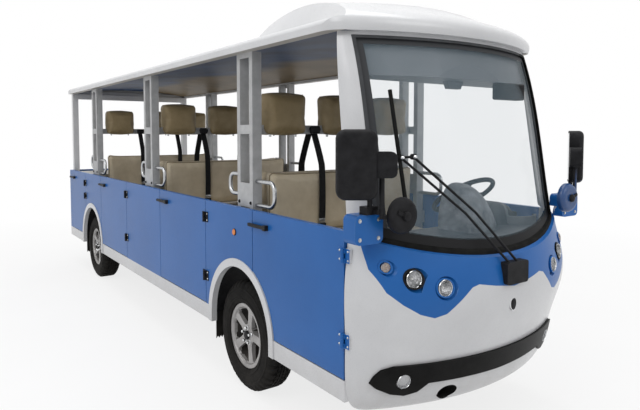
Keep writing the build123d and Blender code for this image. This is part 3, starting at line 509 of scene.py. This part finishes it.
def padded_mesh(size, radius, voxel, cap, pressure):
    """A stuffed block: remeshed evenly, blown up as cloth, and held within a cap of its starting shape."""
    shrunk = [side - cap * 0.9 for side in size]
    obj = placed("padded", soft_box(shrunk, radius, 4))
    remesh = obj.modifiers.new("even", "REMESH")
    remesh.mode = "VOXEL"
    remesh.voxel_size = voxel
    mesh = evaluated_mesh(obj)
    obj.modifiers.remove(remesh)
    obj.data = mesh
    start = [vertex.co.copy() for vertex in mesh.vertices]
    modifier = obj.modifiers.new("blown", "CLOTH")
    cloth = modifier.settings
    cloth.quality = 5
    cloth.use_pressure = True
    cloth.uniform_pressure_force = pressure
    cloth.effector_weights.gravity = 0
    cloth.tension_stiffness = CLOTH_STIFFNESS
    cloth.compression_stiffness = CLOTH_STIFFNESS
    cloth.bending_stiffness = 0.4
    for step in range(1, CLOTH_FRAMES + 1):
        bpy.context.scene.frame_set(step)
    mesh = evaluated_mesh(obj)
    bpy.context.scene.frame_set(1)
    obj.modifiers.remove(modifier)
    obj.data = mesh
    for vertex, home in zip(mesh.vertices, start):
        move = vertex.co - home
        if move.length > cap:
            vertex.co = home + move * (cap / move.length)
    for vertex in mesh.vertices:
        for axis in range(3):
            half = size[axis] / 2
            vertex.co[axis] = max(-half, min(half, vertex.co[axis]))
    bpy.data.objects.remove(obj)
    return smooth_faces(mesh)


def piping(mesh, loop, radius):
    """A sewn cord that follows a padded mesh's surface along a closed loop of points."""
    tree = surface(mesh)
    curve = bpy.data.curves.new("piping", "CURVE")
    curve.dimensions = "3D"
    curve.bevel_depth = radius
    curve.bevel_resolution = 2
    spline = curve.splines.new("POLY")
    spline.points.add(len(loop) - 1)
    for point, target in zip(spline.points, loop):
        near, normal, _, _ = tree.find_nearest(target)
        point.co = (*(near + normal * radius * 0.3), 1)
    spline.use_cyclic_u = True
    obj = placed("piping", curve)
    cord = evaluated_mesh(obj)
    bpy.data.objects.remove(obj)
    return smooth_faces(cord)


def rounded_loop(half_a, half_b, corner, place, count=18):
    """Points round a rounded rectangle, at most 30 mm apart, put in space by a function of (a, b)."""
    points = []
    inner_a, inner_b = half_a - corner, half_b - corner
    for centre_a, centre_b, first in ((inner_a, inner_b, 0), (-inner_a, inner_b, 90), (-inner_a, -inner_b, 180),
                                      (inner_a, -inner_b, 270)):
        for i in range(count):
            angle = math.radians(first + 90 * i / (count - 1))
            points.append(place(centre_a + corner * math.cos(angle), centre_b + corner * math.sin(angle)))
    dense = []
    for first, second in zip(points, points[1:] + points[:1]):
        steps = max(1, int((second - first).length / 0.03))
        dense += [first.lerp(second, i / steps) for i in range(steps)]
    return dense


# Benches as (pillar, facing), and what their padding keeps to
SEAT_ROWS = [(1.5, 1), (1.5, -1), (-0.2, 1), (-0.2, -1), (-1.9, 1)]
SEAT_GAP = 0.022
SEAT_HALF_WIDTH = 0.6
SEAT_TOP_Z = 0.89


def benches():
    """Upholstery of the five benches: a seat cushion and a back each, with piping at their edges."""
    cushion_size = (0.470, 2 * SEAT_HALF_WIDTH, 0.100)
    back_size = (0.085, 2 * SEAT_HALF_WIDTH, 0.430)
    cushion, back = (padded_mesh(size, 0.026, 0.012, 0.024, 4.0) for size in (cushion_size, back_size))
    cushion_cord = piping(cushion, rounded_loop(0.222, 0.588, 0.04, lambda a, b: Vector((a, b, 0.034))), 0.0035)
    back_cord = piping(back, rounded_loop(0.585, 0.20, 0.05, lambda a, b: Vector((0.03, a, b))), 0.0035)
    for number, (x, facing) in enumerate(SEAT_ROWS, 1):
        near = x + facing * SEAT_GAP
        turn = Matrix.Rotation(0 if facing > 0 else math.pi, 4, "Z")
        for part, mesh, cord, dx, z, node in (
                ("cushion", cushion, cushion_cord, 0.235, SEAT_TOP_Z - 0.05, "seat_cushions"),
                ("back", back, back_cord, 0.0425, SEAT_TOP_Z + 0.215, "seat_backs")):
            place = moved(near + facing * dx, 0, z) @ turn
            copy = mesh.copy()
            copy.transform(place)
            piece = link("seat_%s_%d" % (part, number), copy, leather)
            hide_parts(node)
            trim = cord.copy()
            trim.transform(place)
            link("seat_%s_piping_%d" % (part, number), trim, piping_leather)


HEADREST_WIDTH = 0.30
HEADREST_PITCH = 0.42
HEADREST_MIDDLE_Z = 1.643
HEADREST_BAR_Z = 1.521


def headrests():
    """Stuffed headrests over the bars, three to a pillar, with a sewn edge round the top."""
    rest = padded_mesh((0.14, HEADREST_WIDTH, 0.262), 0.030, 0.010, 0.020, 4.0)
    cord = piping(rest, rounded_loop(0.052, 0.128, 0.035, lambda a, b: Vector((a, b, 0.118))), 0.003)
    bolts = []
    for number, x in enumerate(PILLARS_X, 1):
        for k in (-1, 0, 1):
            y = k * HEADREST_PITCH
            for part, mesh, material in (("headrest", rest, rest_leather), ("headrest_piping", cord, piping_leather)):
                copy = mesh.copy()
                copy.transform(moved(x, y, HEADREST_MIDDLE_Z))
                piece = link("%s_%d_%d" % (part, number, k + 2), copy, material)
                if part == "headrest":
                    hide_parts("headrests")
            for dy in (-0.09, 0.09):
                bolts.append(hex_bolt(0.008, 0.016, (0, 0, -1), (x, y + dy, HEADREST_BAR_Z)))
    link_all("headrest_bolts", bolts, tube_steel)


# Tyres and wheels
TYRE_HALF_WIDTH = 0.0925
RIM_RADIUS = 0.190
BEAD_RADIUS = 0.1782
TREAD_STEPS = 240
# Sidewall from the bead outwards, as (radius, height above the tyre's outer plane)
SIDEWALL = [(BEAD_RADIUS, 0.024), (RIM_RADIUS + 0.003, 0.024), (RIM_RADIUS + 0.006, 0.008), (0.214, 0.003),
            (0.217, 0.0005), (0.222, 0.0005), (0.225, 0.003), (0.240, 0.001), (0.262, 0.0012), (0.270, 0.003),
            (0.274, 0.0015), (0.280, 0.0022), (0.284, 0.007), (0.300, 0.0115), (0.311, 0.0185)]
# Tread from the shoulder to the middle, as (distance from the middle, depth)
TREAD = [(0.0595, 0.0015), (0.048, 0), (0.038, 0), (0.038, 0.008), (0.030, 0.008), (0.030, 0), (0.012, 0),
         (0.012, 0.008), (0.005, 0.008), (0.005, 0)]


def tyre_mesh():
    """A road tyre about the Y axis: ribs, cross grooves at the shoulders and rings on the walls."""
    profile = [(radius, height - TYRE_HALF_WIDTH) for radius, height in SIDEWALL]
    profile += [(TYRE_RADIUS - depth, -y) for y, depth in TREAD]
    profile += [(radius, -y) for radius, y in reversed(profile)]
    work = bmesh.new()
    rings = []
    for i, (c, s) in enumerate(circle(TREAD_STEPS)):
        ring = []
        for radius, y in profile:
            phase = (i + (3 if y > 0 else 0)) % 6
            if abs(y) > 0.037 and radius > 0.298 and phase in (0, 1):
                radius -= 0.0075
            if 0.010 < abs(y) < 0.031 and radius > TYRE_RADIUS - 0.001 and i % 4 == 0:
                radius -= 0.005
            ring.append(work.verts.new((radius * c, y, radius * s)))
        rings.append(ring)
    bridge(work, rings + rings[:1])
    return closed(work, angle=28)


WHEEL_FACE = 0.0605
NUT_CIRCLE = 0.044


def wheels():
    """Dressed tyres with their nuts, caps and valves, each on its own wheel's body."""
    tyre = tyre_mesh()
    for name, (x, side) in WHEELS.items():
        body = "wheel_" + name
        copy = tyre.copy()
        copy.transform(moved(x, side * WHEEL_Y, TYRE_RADIUS))
        piece = link("road_tyre_" + name, copy, tyre_rubber, body)
        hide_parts("tyre_" + name)
        face_y = side * (WHEEL_Y + WHEEL_FACE)
        out = (0, side, 0)
        nuts = []
        for i in range(5):
            angle = math.radians(72 * i + 90)
            place = (x + NUT_CIRCLE * math.cos(angle), face_y, TYRE_RADIUS + NUT_CIRCLE * math.sin(angle))
            nuts.append(hex_bolt(0.0095, 0.020, out, place, angle))
        link_all("wheel_nuts_" + name, nuts, chrome, body)
        cap = turned([(0, 0), (0.026, 0), (0.026, 0.010), (0.023, 0.016), (0.012, 0.0185), (0, 0.019)], 28,
                     pointing(out, (x, face_y - side * 0.0005, TYRE_RADIUS)))
        link("wheel_cap_" + name, cap, dark_plastic, body)
        valve = turned([(0, 0), (0.004, 0), (0.004, 0.026), (0.003, 0.028), (0, 0.028)], 10,
                       pointing(out, (x + 0.155, face_y - side * 0.026, TYRE_RADIUS + 0.02)))
        link("tyre_valve_" + name, valve, dark_plastic, body)


# Lamps, each with its place (y, z), its radius and the node that holds it
AHEAD_X = 3.2
LENS_STEPS = 9
LAMPS = [("inner", 0.398, 0.854, 0.037, "lamp_rims"), ("middle", 0.531, 0.900, 0.038, "lamp_rims"),
         ("outer", 0.637, 0.953, 0.022, "lamp_rims"), ("fog", 0.521, 0.424, 0.034, "bumper_strip")]


def face_at(node, y, z, ring):
    """The middle and outward direction of a node's front face, from rays on a ring round a point."""
    tree = surface(nodes[node].data)
    starts = [Vector((AHEAD_X, y + ring * c, z + ring * s)) for c, s in circle(12)]
    hits = [tree.ray_cast(start, (-1, 0, 0))[0] for start in starts]
    middle = sum(hits, Vector()) / len(hits)
    across = (hits[0] - hits[6]).normalized()
    upward = (hits[3] - hits[9]).normalized()
    normal = across.cross(upward)
    if normal.x < 0:
        normal = -normal
    return middle, normal


def lamps():
    """Front lamps: a bowl with painted reflections, a bulb and a ribbed lens in each hole."""
    bowls, bulbs, lenses, warm, rings = [], [], [], [], []
    for name, y, z, radius, node in LAMPS:
        for side in (-1, 1):
            middle, normal = face_at(node, side * y, z, radius + (0.003 if node == "lamp_rims" else 0.006))
            aim = (normal + Vector((0.8, 0, 0))).normalized()
            r = radius * 0.94
            turn = pointing(aim, middle - normal * 0.004)
            bowls.append(turned([(r, 0.002), (r, -0.002), (r * 0.93, -0.010), (r * 0.80, -0.018),
                                 (r * 0.58, -0.025), (r * 0.28, -0.029), (0, -0.030)], 40, turn))
            bulbs.append(turned([(0, -0.012), (r * 0.13, -0.014), (r * 0.17, -0.020), (r * 0.13, -0.030),
                                 (0, -0.030)], 16, turn))
            ribbed = [(r, 0.001)]
            for i in range(1, LENS_STEPS):
                share = 1 - i / (LENS_STEPS - 1)
                ribbed.append((r * share, 0.003 + 0.006 * (1 - share ** 2) + (0.0009 if i % 2 else 0)))
            group = warm if name == "outer" else lenses
            group.append(turned([(0, 0), (r, 0)] + ribbed, 40, turn))
            rings.append(turned([(r * 0.98, -0.002), (r * 1.05, -0.002), (r * 1.06, 0.003), (r * 1.02, 0.005),
                                 (r * 0.98, 0.003), (r * 0.98, -0.002)], 40, turn))
    glass_piece = link_all("lamp_lenses", lenses, lens_glass)
    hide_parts("lamps")
    link_all("side_lamp_lenses", warm, warm_lens)
    link_all("lamp_bowls", bowls, bowl_painted_reflections)
    link_all("lamp_bulbs", bulbs, bulb_white)
    link_all("lamp_chrome_rings", rings, chrome)


# Small fittings
HINGE_LEVELS = (0.606, 0.988)
HINGES = [("front", 2.529, HINGE_LEVELS), ("second", 1.043, HINGE_LEVELS), ("third", -0.657, HINGE_LEVELS),
          ("rear", -2.130, (0.850, 0.988))]
HINGE_FACE_Y = 0.7329
SIDE_FACE_Y = 0.7298
POD_FACE_X = 2.6998
ROUND_MIRROR_Y, ROUND_MIRROR_Z = 0.602, 1.180
WIPER_NUTS = ((2.664, -0.514, 1.418), (2.684, -0.457, 1.421))
NOSE_CAP_Z = 0.732


def fittings():
    """Bolts, side markers, mirror glass, wiper nuts and the plain oval cap on the nose."""
    fixed = []
    for door, hinge_x, levels in HINGES:
        for side in (-1, 1):
            moving = []
            for z in levels:
                for dz in (-0.02, 0.02):
                    for bolts, dx in ((fixed, 0.030), (moving, -0.030)):
                        place = (hinge_x + dx, side * HINGE_FACE_Y, z + dz)
                        bolts.append(dome_bolt(0.0055, 0.004, (0, side, 0), place))
            body = "door_%s_%s" % (door, "left" if side > 0 else "right")
            link_all("hinge_bolts_" + body, moving, tube_steel, body)
    link_all("hinge_bolts_fixed", fixed, tube_steel)

    markers, bezels = [], []
    for side in (-1, 1):
        turn = pointing((0, side, 0), (1.458, side * SIDE_FACE_Y, 0.944))
        markers.append(turned([(0.0175, 0), (0.0175, 0.005), (0.014, 0.009), (0.008, 0.0085), (0.004, 0.010),
                               (0, 0.0095)], 28, turn))
        bezels.append(turned([(0.0178, 0), (0.0215, 0), (0.0205, 0.004), (0.0178, 0.004), (0.0178, 0)], 28, turn))
    link_all("side_markers", markers, amber)
    link_all("side_marker_bezels", bezels, dark_plastic)

    glasses, rounds, pod_bolts = [], [], []
    for side in (-1, 1):
        turn = moved(2.690, side * 0.790, 1.396) @ Matrix.Rotation(side * math.radians(35), 4, "Z")
        glasses.append(soft_box((0.003, 0.146, 0.262), 0.0014, 1, turn @ moved(-0.0378, 0, 0)))
        rounds.append(turned([(0, 0), (0.070, 0), (0.070, 0.001), (0, 0.004)], 40,
                             pointing((-1, 0, 0), (2.7502, side * ROUND_MIRROR_Y, ROUND_MIRROR_Z))))
        for z in (1.085, 1.164):
            for y in (0.680, 0.780):
                pod_bolts.append(hex_bolt(0.0065, 0.006, (1, 0, 0), (POD_FACE_X, side * y, z)))
    link_all("mirror_glass", glasses, mirror_silver)
    link_all("round_mirror_glass", rounds, mirror_silver)
    link_all("pod_bolts", pod_bolts, tube_steel)

    nuts = [dome_bolt(0.0095, 0.010, (1, 0, 0.15), place) for place in WIPER_NUTS]
    link_all("wiper_nut_caps", nuts, chrome)

    pillar_bolts = []
    for x in PILLARS_X:
        for side in (-1, 1):
            for dx in (-0.07, 0.07):
                pillar_bolts.append(hex_bolt(0.008, 0.007, (0, side, 0), (x + dx, side * 0.680, 1.122)))
    link_all("pillar_bolts", pillar_bolts, dark_plastic)

    middle, normal = face_at("front_body", 0.0, NOSE_CAP_Z, 0.02)
    upright = (Matrix.Translation(middle - normal * 0.001) @ Matrix.Rotation(math.pi / 2, 4, "Y")
               @ Matrix.Rotation(math.pi / 2, 4, "Z"))
    cap = turned([(0, 0), (0.020, 0), (0.020, 0.003), (0.017, 0.005), (0, 0.006)], 36)
    cap.transform(upright @ Matrix.Diagonal((1, 1.55, 1, 1)))
    link("nose_plain_cap", cap, dark_plastic)
    rim = turned([(0.0202, 0), (0.0232, 0), (0.0226, 0.0028), (0.0202, 0.0034), (0.0202, 0)], 36)
    rim.transform(upright @ Matrix.Diagonal((1, 1.50, 1, 1)))
    link("nose_cap_rim", rim, chrome)


# Instrument cowl
DASH_TOP_Z = 1.0105
COWL_X, COWL_Y = 2.352, 0.175
COWL_LENGTH, COWL_HALF_WIDTH, COWL_HEIGHT = 0.215, 0.134, 0.245
ARCH_STEPS = 24


def instrument_cowl():
    """The driver's instrument cowl on the dash: an arched hood, a sunk face and two dials."""
    rows = []
    for share in (0.0, 0.10, 0.25, 0.42, 0.58, 0.72, 0.84, 0.93, 0.98, 1.0):
        height = COWL_HEIGHT * math.sqrt(max(0.0, 1 - (0.985 * share) ** 2.2))
        rows.append((COWL_X + COWL_LENGTH * share, COWL_HALF_WIDTH * (1 - 0.30 * share ** 2), height))
    work = bmesh.new()

    def arch(x, half, height, inset=0.0):
        ring = []
        for i in range(ARCH_STEPS + 1):
            angle = math.pi * i / ARCH_STEPS
            across = math.copysign(abs(math.cos(angle)) ** 0.8, math.cos(angle))
            ring.append(work.verts.new((x, COWL_Y + (half - inset) * across,
                                        DASH_TOP_Z + inset + (height - 2 * inset) * math.sin(angle) ** 0.82)))
        return ring

    sunk = [arch(COWL_X + 0.016, *rows[0][1:], 0.016), arch(COWL_X, *rows[0][1:], 0.012)]
    rings = sunk + [arch(*row) for row in rows]
    bridge(work, rings)
    work.faces.new(rings[0])
    work.faces.new(list(reversed(rings[-1])))
    link("instrument_cowl", closed(work, angle=40), cowl_plastic)
    dials = []
    for y in (0.118, 0.232):
        dials.append(turned([(0, 0.001), (0.040, 0.001), (0.043, 0.004), (0.047, 0.004), (0.047, -0.004),
                             (0, -0.004)], 36, pointing((-1, 0, 0), (2.367, y, 1.115))))
        dials.append(soft_box((0.0015, 0.003, 0.034), 0.0005, 1, moved(2.3645, y, 1.126)
                              @ Matrix.Rotation(0.6 * (1 if y > COWL_Y else -1), 4, "X")))
    link_all("instrument_dials", dials, dark_plastic)


SPEAKER_Y = 0.352


def cab_fittings():
    """A speaker under the header, and the clamp of each round mirror."""
    box = [soft_box((0.060, 0.205, 0.088), 0.010, 3, moved(2.560, SPEAKER_Y, 1.748))]
    for i in range(9):
        box.append(soft_box((0.004, 0.180, 0.0040), 0.0015, 2, moved(2.5915, SPEAKER_Y, 1.716 + 0.008 * i)))
    link_all("cab_speaker", box, dark_plastic)
    clamps = []
    for side in (-1, 1):
        clamps.append(turned([(0, 0), (0.019, 0), (0.021, 0.004), (0.019, 0.012), (0.011, 0.016), (0, 0.017)], 24,
                             pointing((1, 0, 0), (2.7855, side * ROUND_MIRROR_Y, ROUND_MIRROR_Z))))
        arm = moved(2.7895, side * (ROUND_MIRROR_Y + 0.025), ROUND_MIRROR_Z + 0.010)
        clamps.append(soft_box((0.008, 0.050, 0.016), 0.003, 3, arm @ Matrix.Rotation(side * 0.38, 4, "X")))
    link_all("round_mirror_clamps", clamps, dark_plastic)


# Seat belts
BELTS = [(x, facing, y) for x in PILLARS_X for facing in (1, -1) for y in (-0.21, 0.21)
         if (x, facing) != (PILLARS_X[2], -1)]
BELT_HALF_WIDTH = 0.0235
BELT_THICKNESS = 0.0035
BELT_TOP_Z, BELT_KNEE_Z = 1.523, 1.336


def ribbon(spine, half_width, thick):
    """A flat strap along a spine of (x, y, z) points, its width across the bus."""
    outline = ((-1, -0.35), (-0.94, -1), (0.94, -1), (1, -0.35), (1, 0.35), (0.94, 1), (-0.94, 1), (-1, 0.35))
    work = bmesh.new()
    rows = []
    for i, point in enumerate(spine):
        run = (spine[min(i + 1, len(spine) - 1)] - spine[max(i - 1, 0)]).normalized()
        across = (Vector((0, 1, 0)) - run * run.y).normalized()
        face = run.cross(across).normalized()
        rows.append([work.verts.new(point + across * a * half_width + face * b * thick / 2) for a, b in outline])
    bridge(work, rows)
    work.faces.new(list(reversed(rows[0])))
    work.faces.new(rows[-1])
    return closed(work, angle=40)


def belt_spine(x, facing, y):
    """From the reel's slot over the top of the seat back and down its face, a little slack."""
    face_x = x + facing * 0.1125
    top = Vector((x + facing * 0.030, y, BELT_TOP_Z))
    knee = Vector((face_x, y, BELT_KNEE_Z))
    points = []
    for i in range(13):
        share = i / 12
        sag = 0.012 * math.sin(math.pi * share)
        points.append(top.lerp(knee, share) + Vector((facing * sag * 0.5, 0, -sag * 0.6)))
    for i in range(1, 15):
        share = i / 14
        bulge = 0.007 * math.sin(math.pi * share)
        points.append(Vector((face_x + facing * bulge + facing * 0.002, y, BELT_KNEE_Z - share * 0.40)))
    return points


def seat_belts():
    """Straps, reels on the bars, and buckles on the cushions."""
    straps, housings, buckles, tongues = [], [], [], []
    for x, facing, y in BELTS:
        straps.append(ribbon(belt_spine(x, facing, y), BELT_HALF_WIDTH, BELT_THICKNESS))
        housings.append(soft_box((0.036, 0.062, 0.046), 0.008, 3, moved(x + facing * 0.0385, y, 1.548)))
        housings.append(turned([(0, 0), (0.015, 0), (0.017, 0.002), (0.017, 0.064), (0.015, 0.066), (0, 0.066)],
                               24, pointing((0, 1, 0), (x + facing * 0.040, y - 0.033, 1.552))))
        low_x = x + facing * 0.118
        buckles.append(soft_box((0.022, 0.052, 0.074), 0.006, 3, moved(low_x, y, 0.936)))
        tongues.append(soft_box((0.004, 0.046, 0.030), 0.0015, 2, moved(low_x, y, 0.986)))
        buckles.append(soft_box((0.005, 0.024, 0.016), 0.002, 2, moved(low_x + facing * 0.010, y, 0.954)))
    piece = link_all("belt_straps", straps, webbing)
    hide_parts("seat_belts")
    link_all("belt_reels", housings, dark_plastic)
    link_all("belt_buckles", buckles, dark_plastic)
    link_all("belt_tongues", tongues, tube_steel)


# Tow hole, rear end and floor
TOW_Y, TOW_Z = -0.28, 0.33


def tow_boot():
    """A rubber funnel from the oval hole in the nose back to the tow socket."""
    rows = [(2.712, 0.0555, 0.0375), (2.700, 0.0540, 0.0360), (2.676, 0.0470, 0.0330), (2.648, 0.0390, 0.0315),
            (2.618, 0.0305, 0.0300), (2.600, 0.0268, 0.0268), (2.596, 0.0268, 0.0268)]
    work = bmesh.new()
    rings = []
    for x, wide, tall in rows:
        rings.append([work.verts.new((x, TOW_Y + wide * c, TOW_Z + tall * s)) for c, s in circle(48)])
    bridge(work, rings)
    piece = link("tow_boot", finished(work, angle=50), rubber)
    wall = piece.modifiers.new("wall", "SOLIDIFY")
    wall.thickness = 0.0025
    wall.offset = 1


TAIL_LAMP_Y = 0.610
PLATE_Z = 0.600


def rear_fittings():
    """Clear and red lenses over the tail lamps, a blank plate with its lamp, and the rear panel's bolts."""
    lenses, clear, bezels, bolts = [], [], [], []
    for side in (-1, 1):
        y = side * TAIL_LAMP_Y
        for z, tall, group in ((0.866, 0.092, lenses), (0.792, 0.040, clear), (0.732, 0.068, lenses)):
            group.append(soft_box((0.0060, 0.078, tall), 0.0028, 3, moved(-2.8966, y, z)))
        for z in (0.916, 0.684):
            bolts.append(dome_bolt(0.004, 0.003, (-1, 0, 0), (-2.8968, y, z)))
        for z in (0.816, 0.769):
            bezels.append(soft_box((0.012, 0.092, 0.008), 0.003, 2, moved(-2.892, y, z)))
    link_all("tail_red_lenses", lenses, red_lens)
    link_all("tail_clear_lenses", clear, bulb_white)
    link_all("tail_bezels", bezels, dark_plastic)
    plate = soft_box((0.004, 0.440, 0.140), 0.0016, 2, moved(-2.8785, 0, PLATE_Z))
    rim = [soft_box((0.006, 0.452, 0.008), 0.0025, 2, moved(-2.879, 0, PLATE_Z + dz)) for dz in (-0.071, 0.071)]
    rim += [soft_box((0.006, 0.008, 0.150), 0.0025, 2, moved(-2.879, dy, PLATE_Z)) for dy in (-0.222, 0.222)]
    link("rear_plate_blank", plate, pale_panel)
    link_all("rear_plate_rim", rim, dark_plastic)
    for dy in (-0.17, 0.17):
        bolts.append(dome_bolt(0.006, 0.004, (-1, 0, 0), (-2.8802, dy, PLATE_Z + 0.045)))
    hood = soft_box((0.020, 0.090, 0.022), 0.006, 3, moved(-2.884, 0, PLATE_Z + 0.090))
    link("rear_plate_lamp", hood, dark_plastic)
    for y in (-0.5, -0.25, 0, 0.25, 0.5):
        for z in (0.46, 1.06):
            bolts.append(dome_bolt(0.006, 0.0035, (-1, 0, 0), (-2.8758, y, z)))
    link_all("rear_bolts", bolts, tube_steel)


MAT_Z, RIB_TOP_Z = 0.4795, 0.4822
MAT_HALF_WIDTH = 0.63
RIB_PITCH = 0.028


def floor_ribs():
    """Raised ribs of the rubber mat, between the front dash and the rear bench."""
    work = bmesh.new()
    for start, end in ((1.99, 2.27), (0.30, 1.00), (-1.40, -0.70)):
        y = -MAT_HALF_WIDTH
        while y < MAT_HALF_WIDTH:
            corners = []
            for dy, z in ((-0.006, MAT_Z), (-0.0035, RIB_TOP_Z), (0.0035, RIB_TOP_Z), (0.006, MAT_Z)):
                corners.append([work.verts.new((x, y + dy, z)) for x in (start, end)])
            for one, two in zip(corners, corners[1:]):
                work.faces.new((one[0], one[1], two[1], two[0]))
            work.faces.new([c[0] for c in corners])
            work.faces.new([c[1] for c in reversed(corners)])
            work.faces.new((corners[0][0], corners[3][0], corners[3][1], corners[0][1]))
            y += RIB_PITCH
    link("floor_ribs", closed(work, angle=0), mat_rubber)


# Per-face finishes on frame pieces
def repaint(names, material, chosen):
    """Give a second finish to the faces that a function of (middle, normal) picks."""
    for name in names:
        mesh = nodes[name].data
        mesh.materials.append(material)
        index = len(mesh.materials) - 1
        for polygon in mesh.polygons:
            if chosen(polygon.center, polygon.normal):
                polygon.material_index = index


# The round well in the dash
WELL_X, WELL_Y = 2.437, 0.590


def from_well(c):
    return math.hypot(c.x - WELL_X, c.y - WELL_Y)


benches()
headrests()
wheels()
lamps()
fittings()
instrument_cowl()
cab_fittings()
seat_belts()
tow_boot()
rear_fittings()
floor_ribs()
# Hinges, handles, linings and trims that are part of a larger solid, and painted shade on some faces: c is a face's
# middle, n its normal
repaint([*DOOR_NODES, "side_panels_left", "side_panels_right"], dark_plastic,
        lambda c, n: abs(c.y) > 0.7306 and c.x < 2.4)
# The roof rails' downward faces are painted darker: painted shade under the rails.
repaint(["roof_rails"], rail_underside_shade, lambda c, n: n.z < -0.7)
repaint(["front_body"], blue,
        lambda c, n: abs(c.y) > 0.7302 and c.x < 2.585 and min(abs(c.z - z) for z in HINGE_LEVELS) < 0.040)
repaint(["rim_" + w for w in WHEELS], black_steel, lambda c, n: abs(c.y) < WHEEL_Y + 0.034)
repaint(["dashboard"], panel_plastic, lambda c, n: c.z > 1.012 and 0.104 < from_well(c) < 0.130)
repaint(["dashboard"], dark_plastic, lambda c, n: c.z > 0.9 and from_well(c) < 0.1065)
# The white shell's edge inside the tow hole is painted black rubber: painted shade in the hole.
repaint(["front_body"], rubber, lambda c, n: c.x > 2.6 and abs(n.x) < 0.3
        and math.hypot((c.y - TOW_Y) / 0.0585, (c.z - TOW_Z) / 0.0405) < 1.05)
# The seal's foot and its far side take the darker rubber; on the far side it is painted shade.
repaint(["windscreen_seal"], rubber, lambda c, n: c.z < 1.10 or c.y > 0.5)
repaint(["overhead_panel"], dark_plastic, lambda c, n: c.z < 1.7895 and 0.37 < c.y < 0.57)
repaint(["lamp_rims"], blue, lambda c, n: not 0.48 < abs(c.y) < 0.585)
# The far round mirror's back takes the darker blue: painted shade.
repaint(["mirrors"], painted_shade_blue, lambda c, n: c.y > 0.5 and c.z < 1.265 and c.x > 2.7495 and n.x > -0.5)
repaint(["wiper"], rubber, lambda c, n: c.z > 1.2 and c.x < 2.7 and abs(c.y + 0.52) < 0.02)


# Floor, light and background
LIGHTS = (  # name, place, aim, watts, size
    ("key_light", (3.5, -7.0, 7.5), (0.5, 0, 1.2), 240, 5.0),
    ("front_light", (8.5, 1.5, 5.5), (2.0, 0, 1.2), 110, 4.0),
    ("top_light", (0.0, 0.0, 8.0), (0, 0, 1.0), 330, 6.0),
)
SKY_STRENGTH = 0.50


def studio_floor():
    """A pale floor that catches shadows near the bus and is seen as white further off."""
    mesh = bpy.data.meshes.new("studio_floor")
    mesh.from_pydata([(-30, -30, 0), (30, -30, 0), (30, 30, 0), (-30, 30, 0)], [], [(0, 1, 2, 3)])
    floor = placed("studio_floor", mesh)
    material, graph, inputs = new_material("studio_floor")
    place = graph.place()
    cloud = graph.texture("noise", place, Scale=1.5)
    graph.feed(graph.ramp(cloud, (0.80, 0.80, 0.80), (0.84, 0.84, 0.84), 0.3, 0.7), inputs["Base Color"])
    inputs["Roughness"].default_value = 0.9
    glow = graph.nodes.new("ShaderNodeEmission")
    glow.inputs["Strength"].default_value = 1.0
    fade = graph.spread(graph.vector_maths("LENGTH", place), 0.80, 1.0, 2.5, 7.0)
    share = graph.maths("MULTIPLY", graph.seen(), fade)
    both = graph.blend(share, graph.nodes["Principled BSDF"].outputs[0], glow.outputs[0])
    graph.feed(both, graph.nodes["Material Output"].inputs["Surface"])
    mesh.materials.append(material)


def studio_light():
    """A plain sky that is seen as white, and three soft lamps."""
    world = bpy.data.worlds.new("studio")
    bpy.context.scene.world = world
    world.use_nodes = True
    graph = Graph(world.node_tree)
    sky = graph.nodes["Background"]
    backdrop = graph.nodes.new("ShaderNodeBackground")
    for background, strength in ((sky, SKY_STRENGTH), (backdrop, 1.0)):
        graph.feed((1, 1, 1), background.inputs["Color"])
        graph.feed(strength, background.inputs["Strength"])
    both = graph.blend(graph.seen(), sky.outputs[0], backdrop.outputs[0])
    graph.feed(both, graph.nodes["World Output"].inputs["Surface"])
    for name, place, aim, watts, size in LIGHTS:
        data = bpy.data.lights.new(name, "AREA")
        data.energy = watts
        data.size = size
        lamp = placed(name, data)
        lamp.location = place
        lamp.rotation_euler = (Vector(aim) - Vector(place)).to_track_quat("-Z", "Y").to_euler()


aim_camera()
studio_floor()
studio_light()
bpy.context.scene.view_settings.view_transform = "Standard"
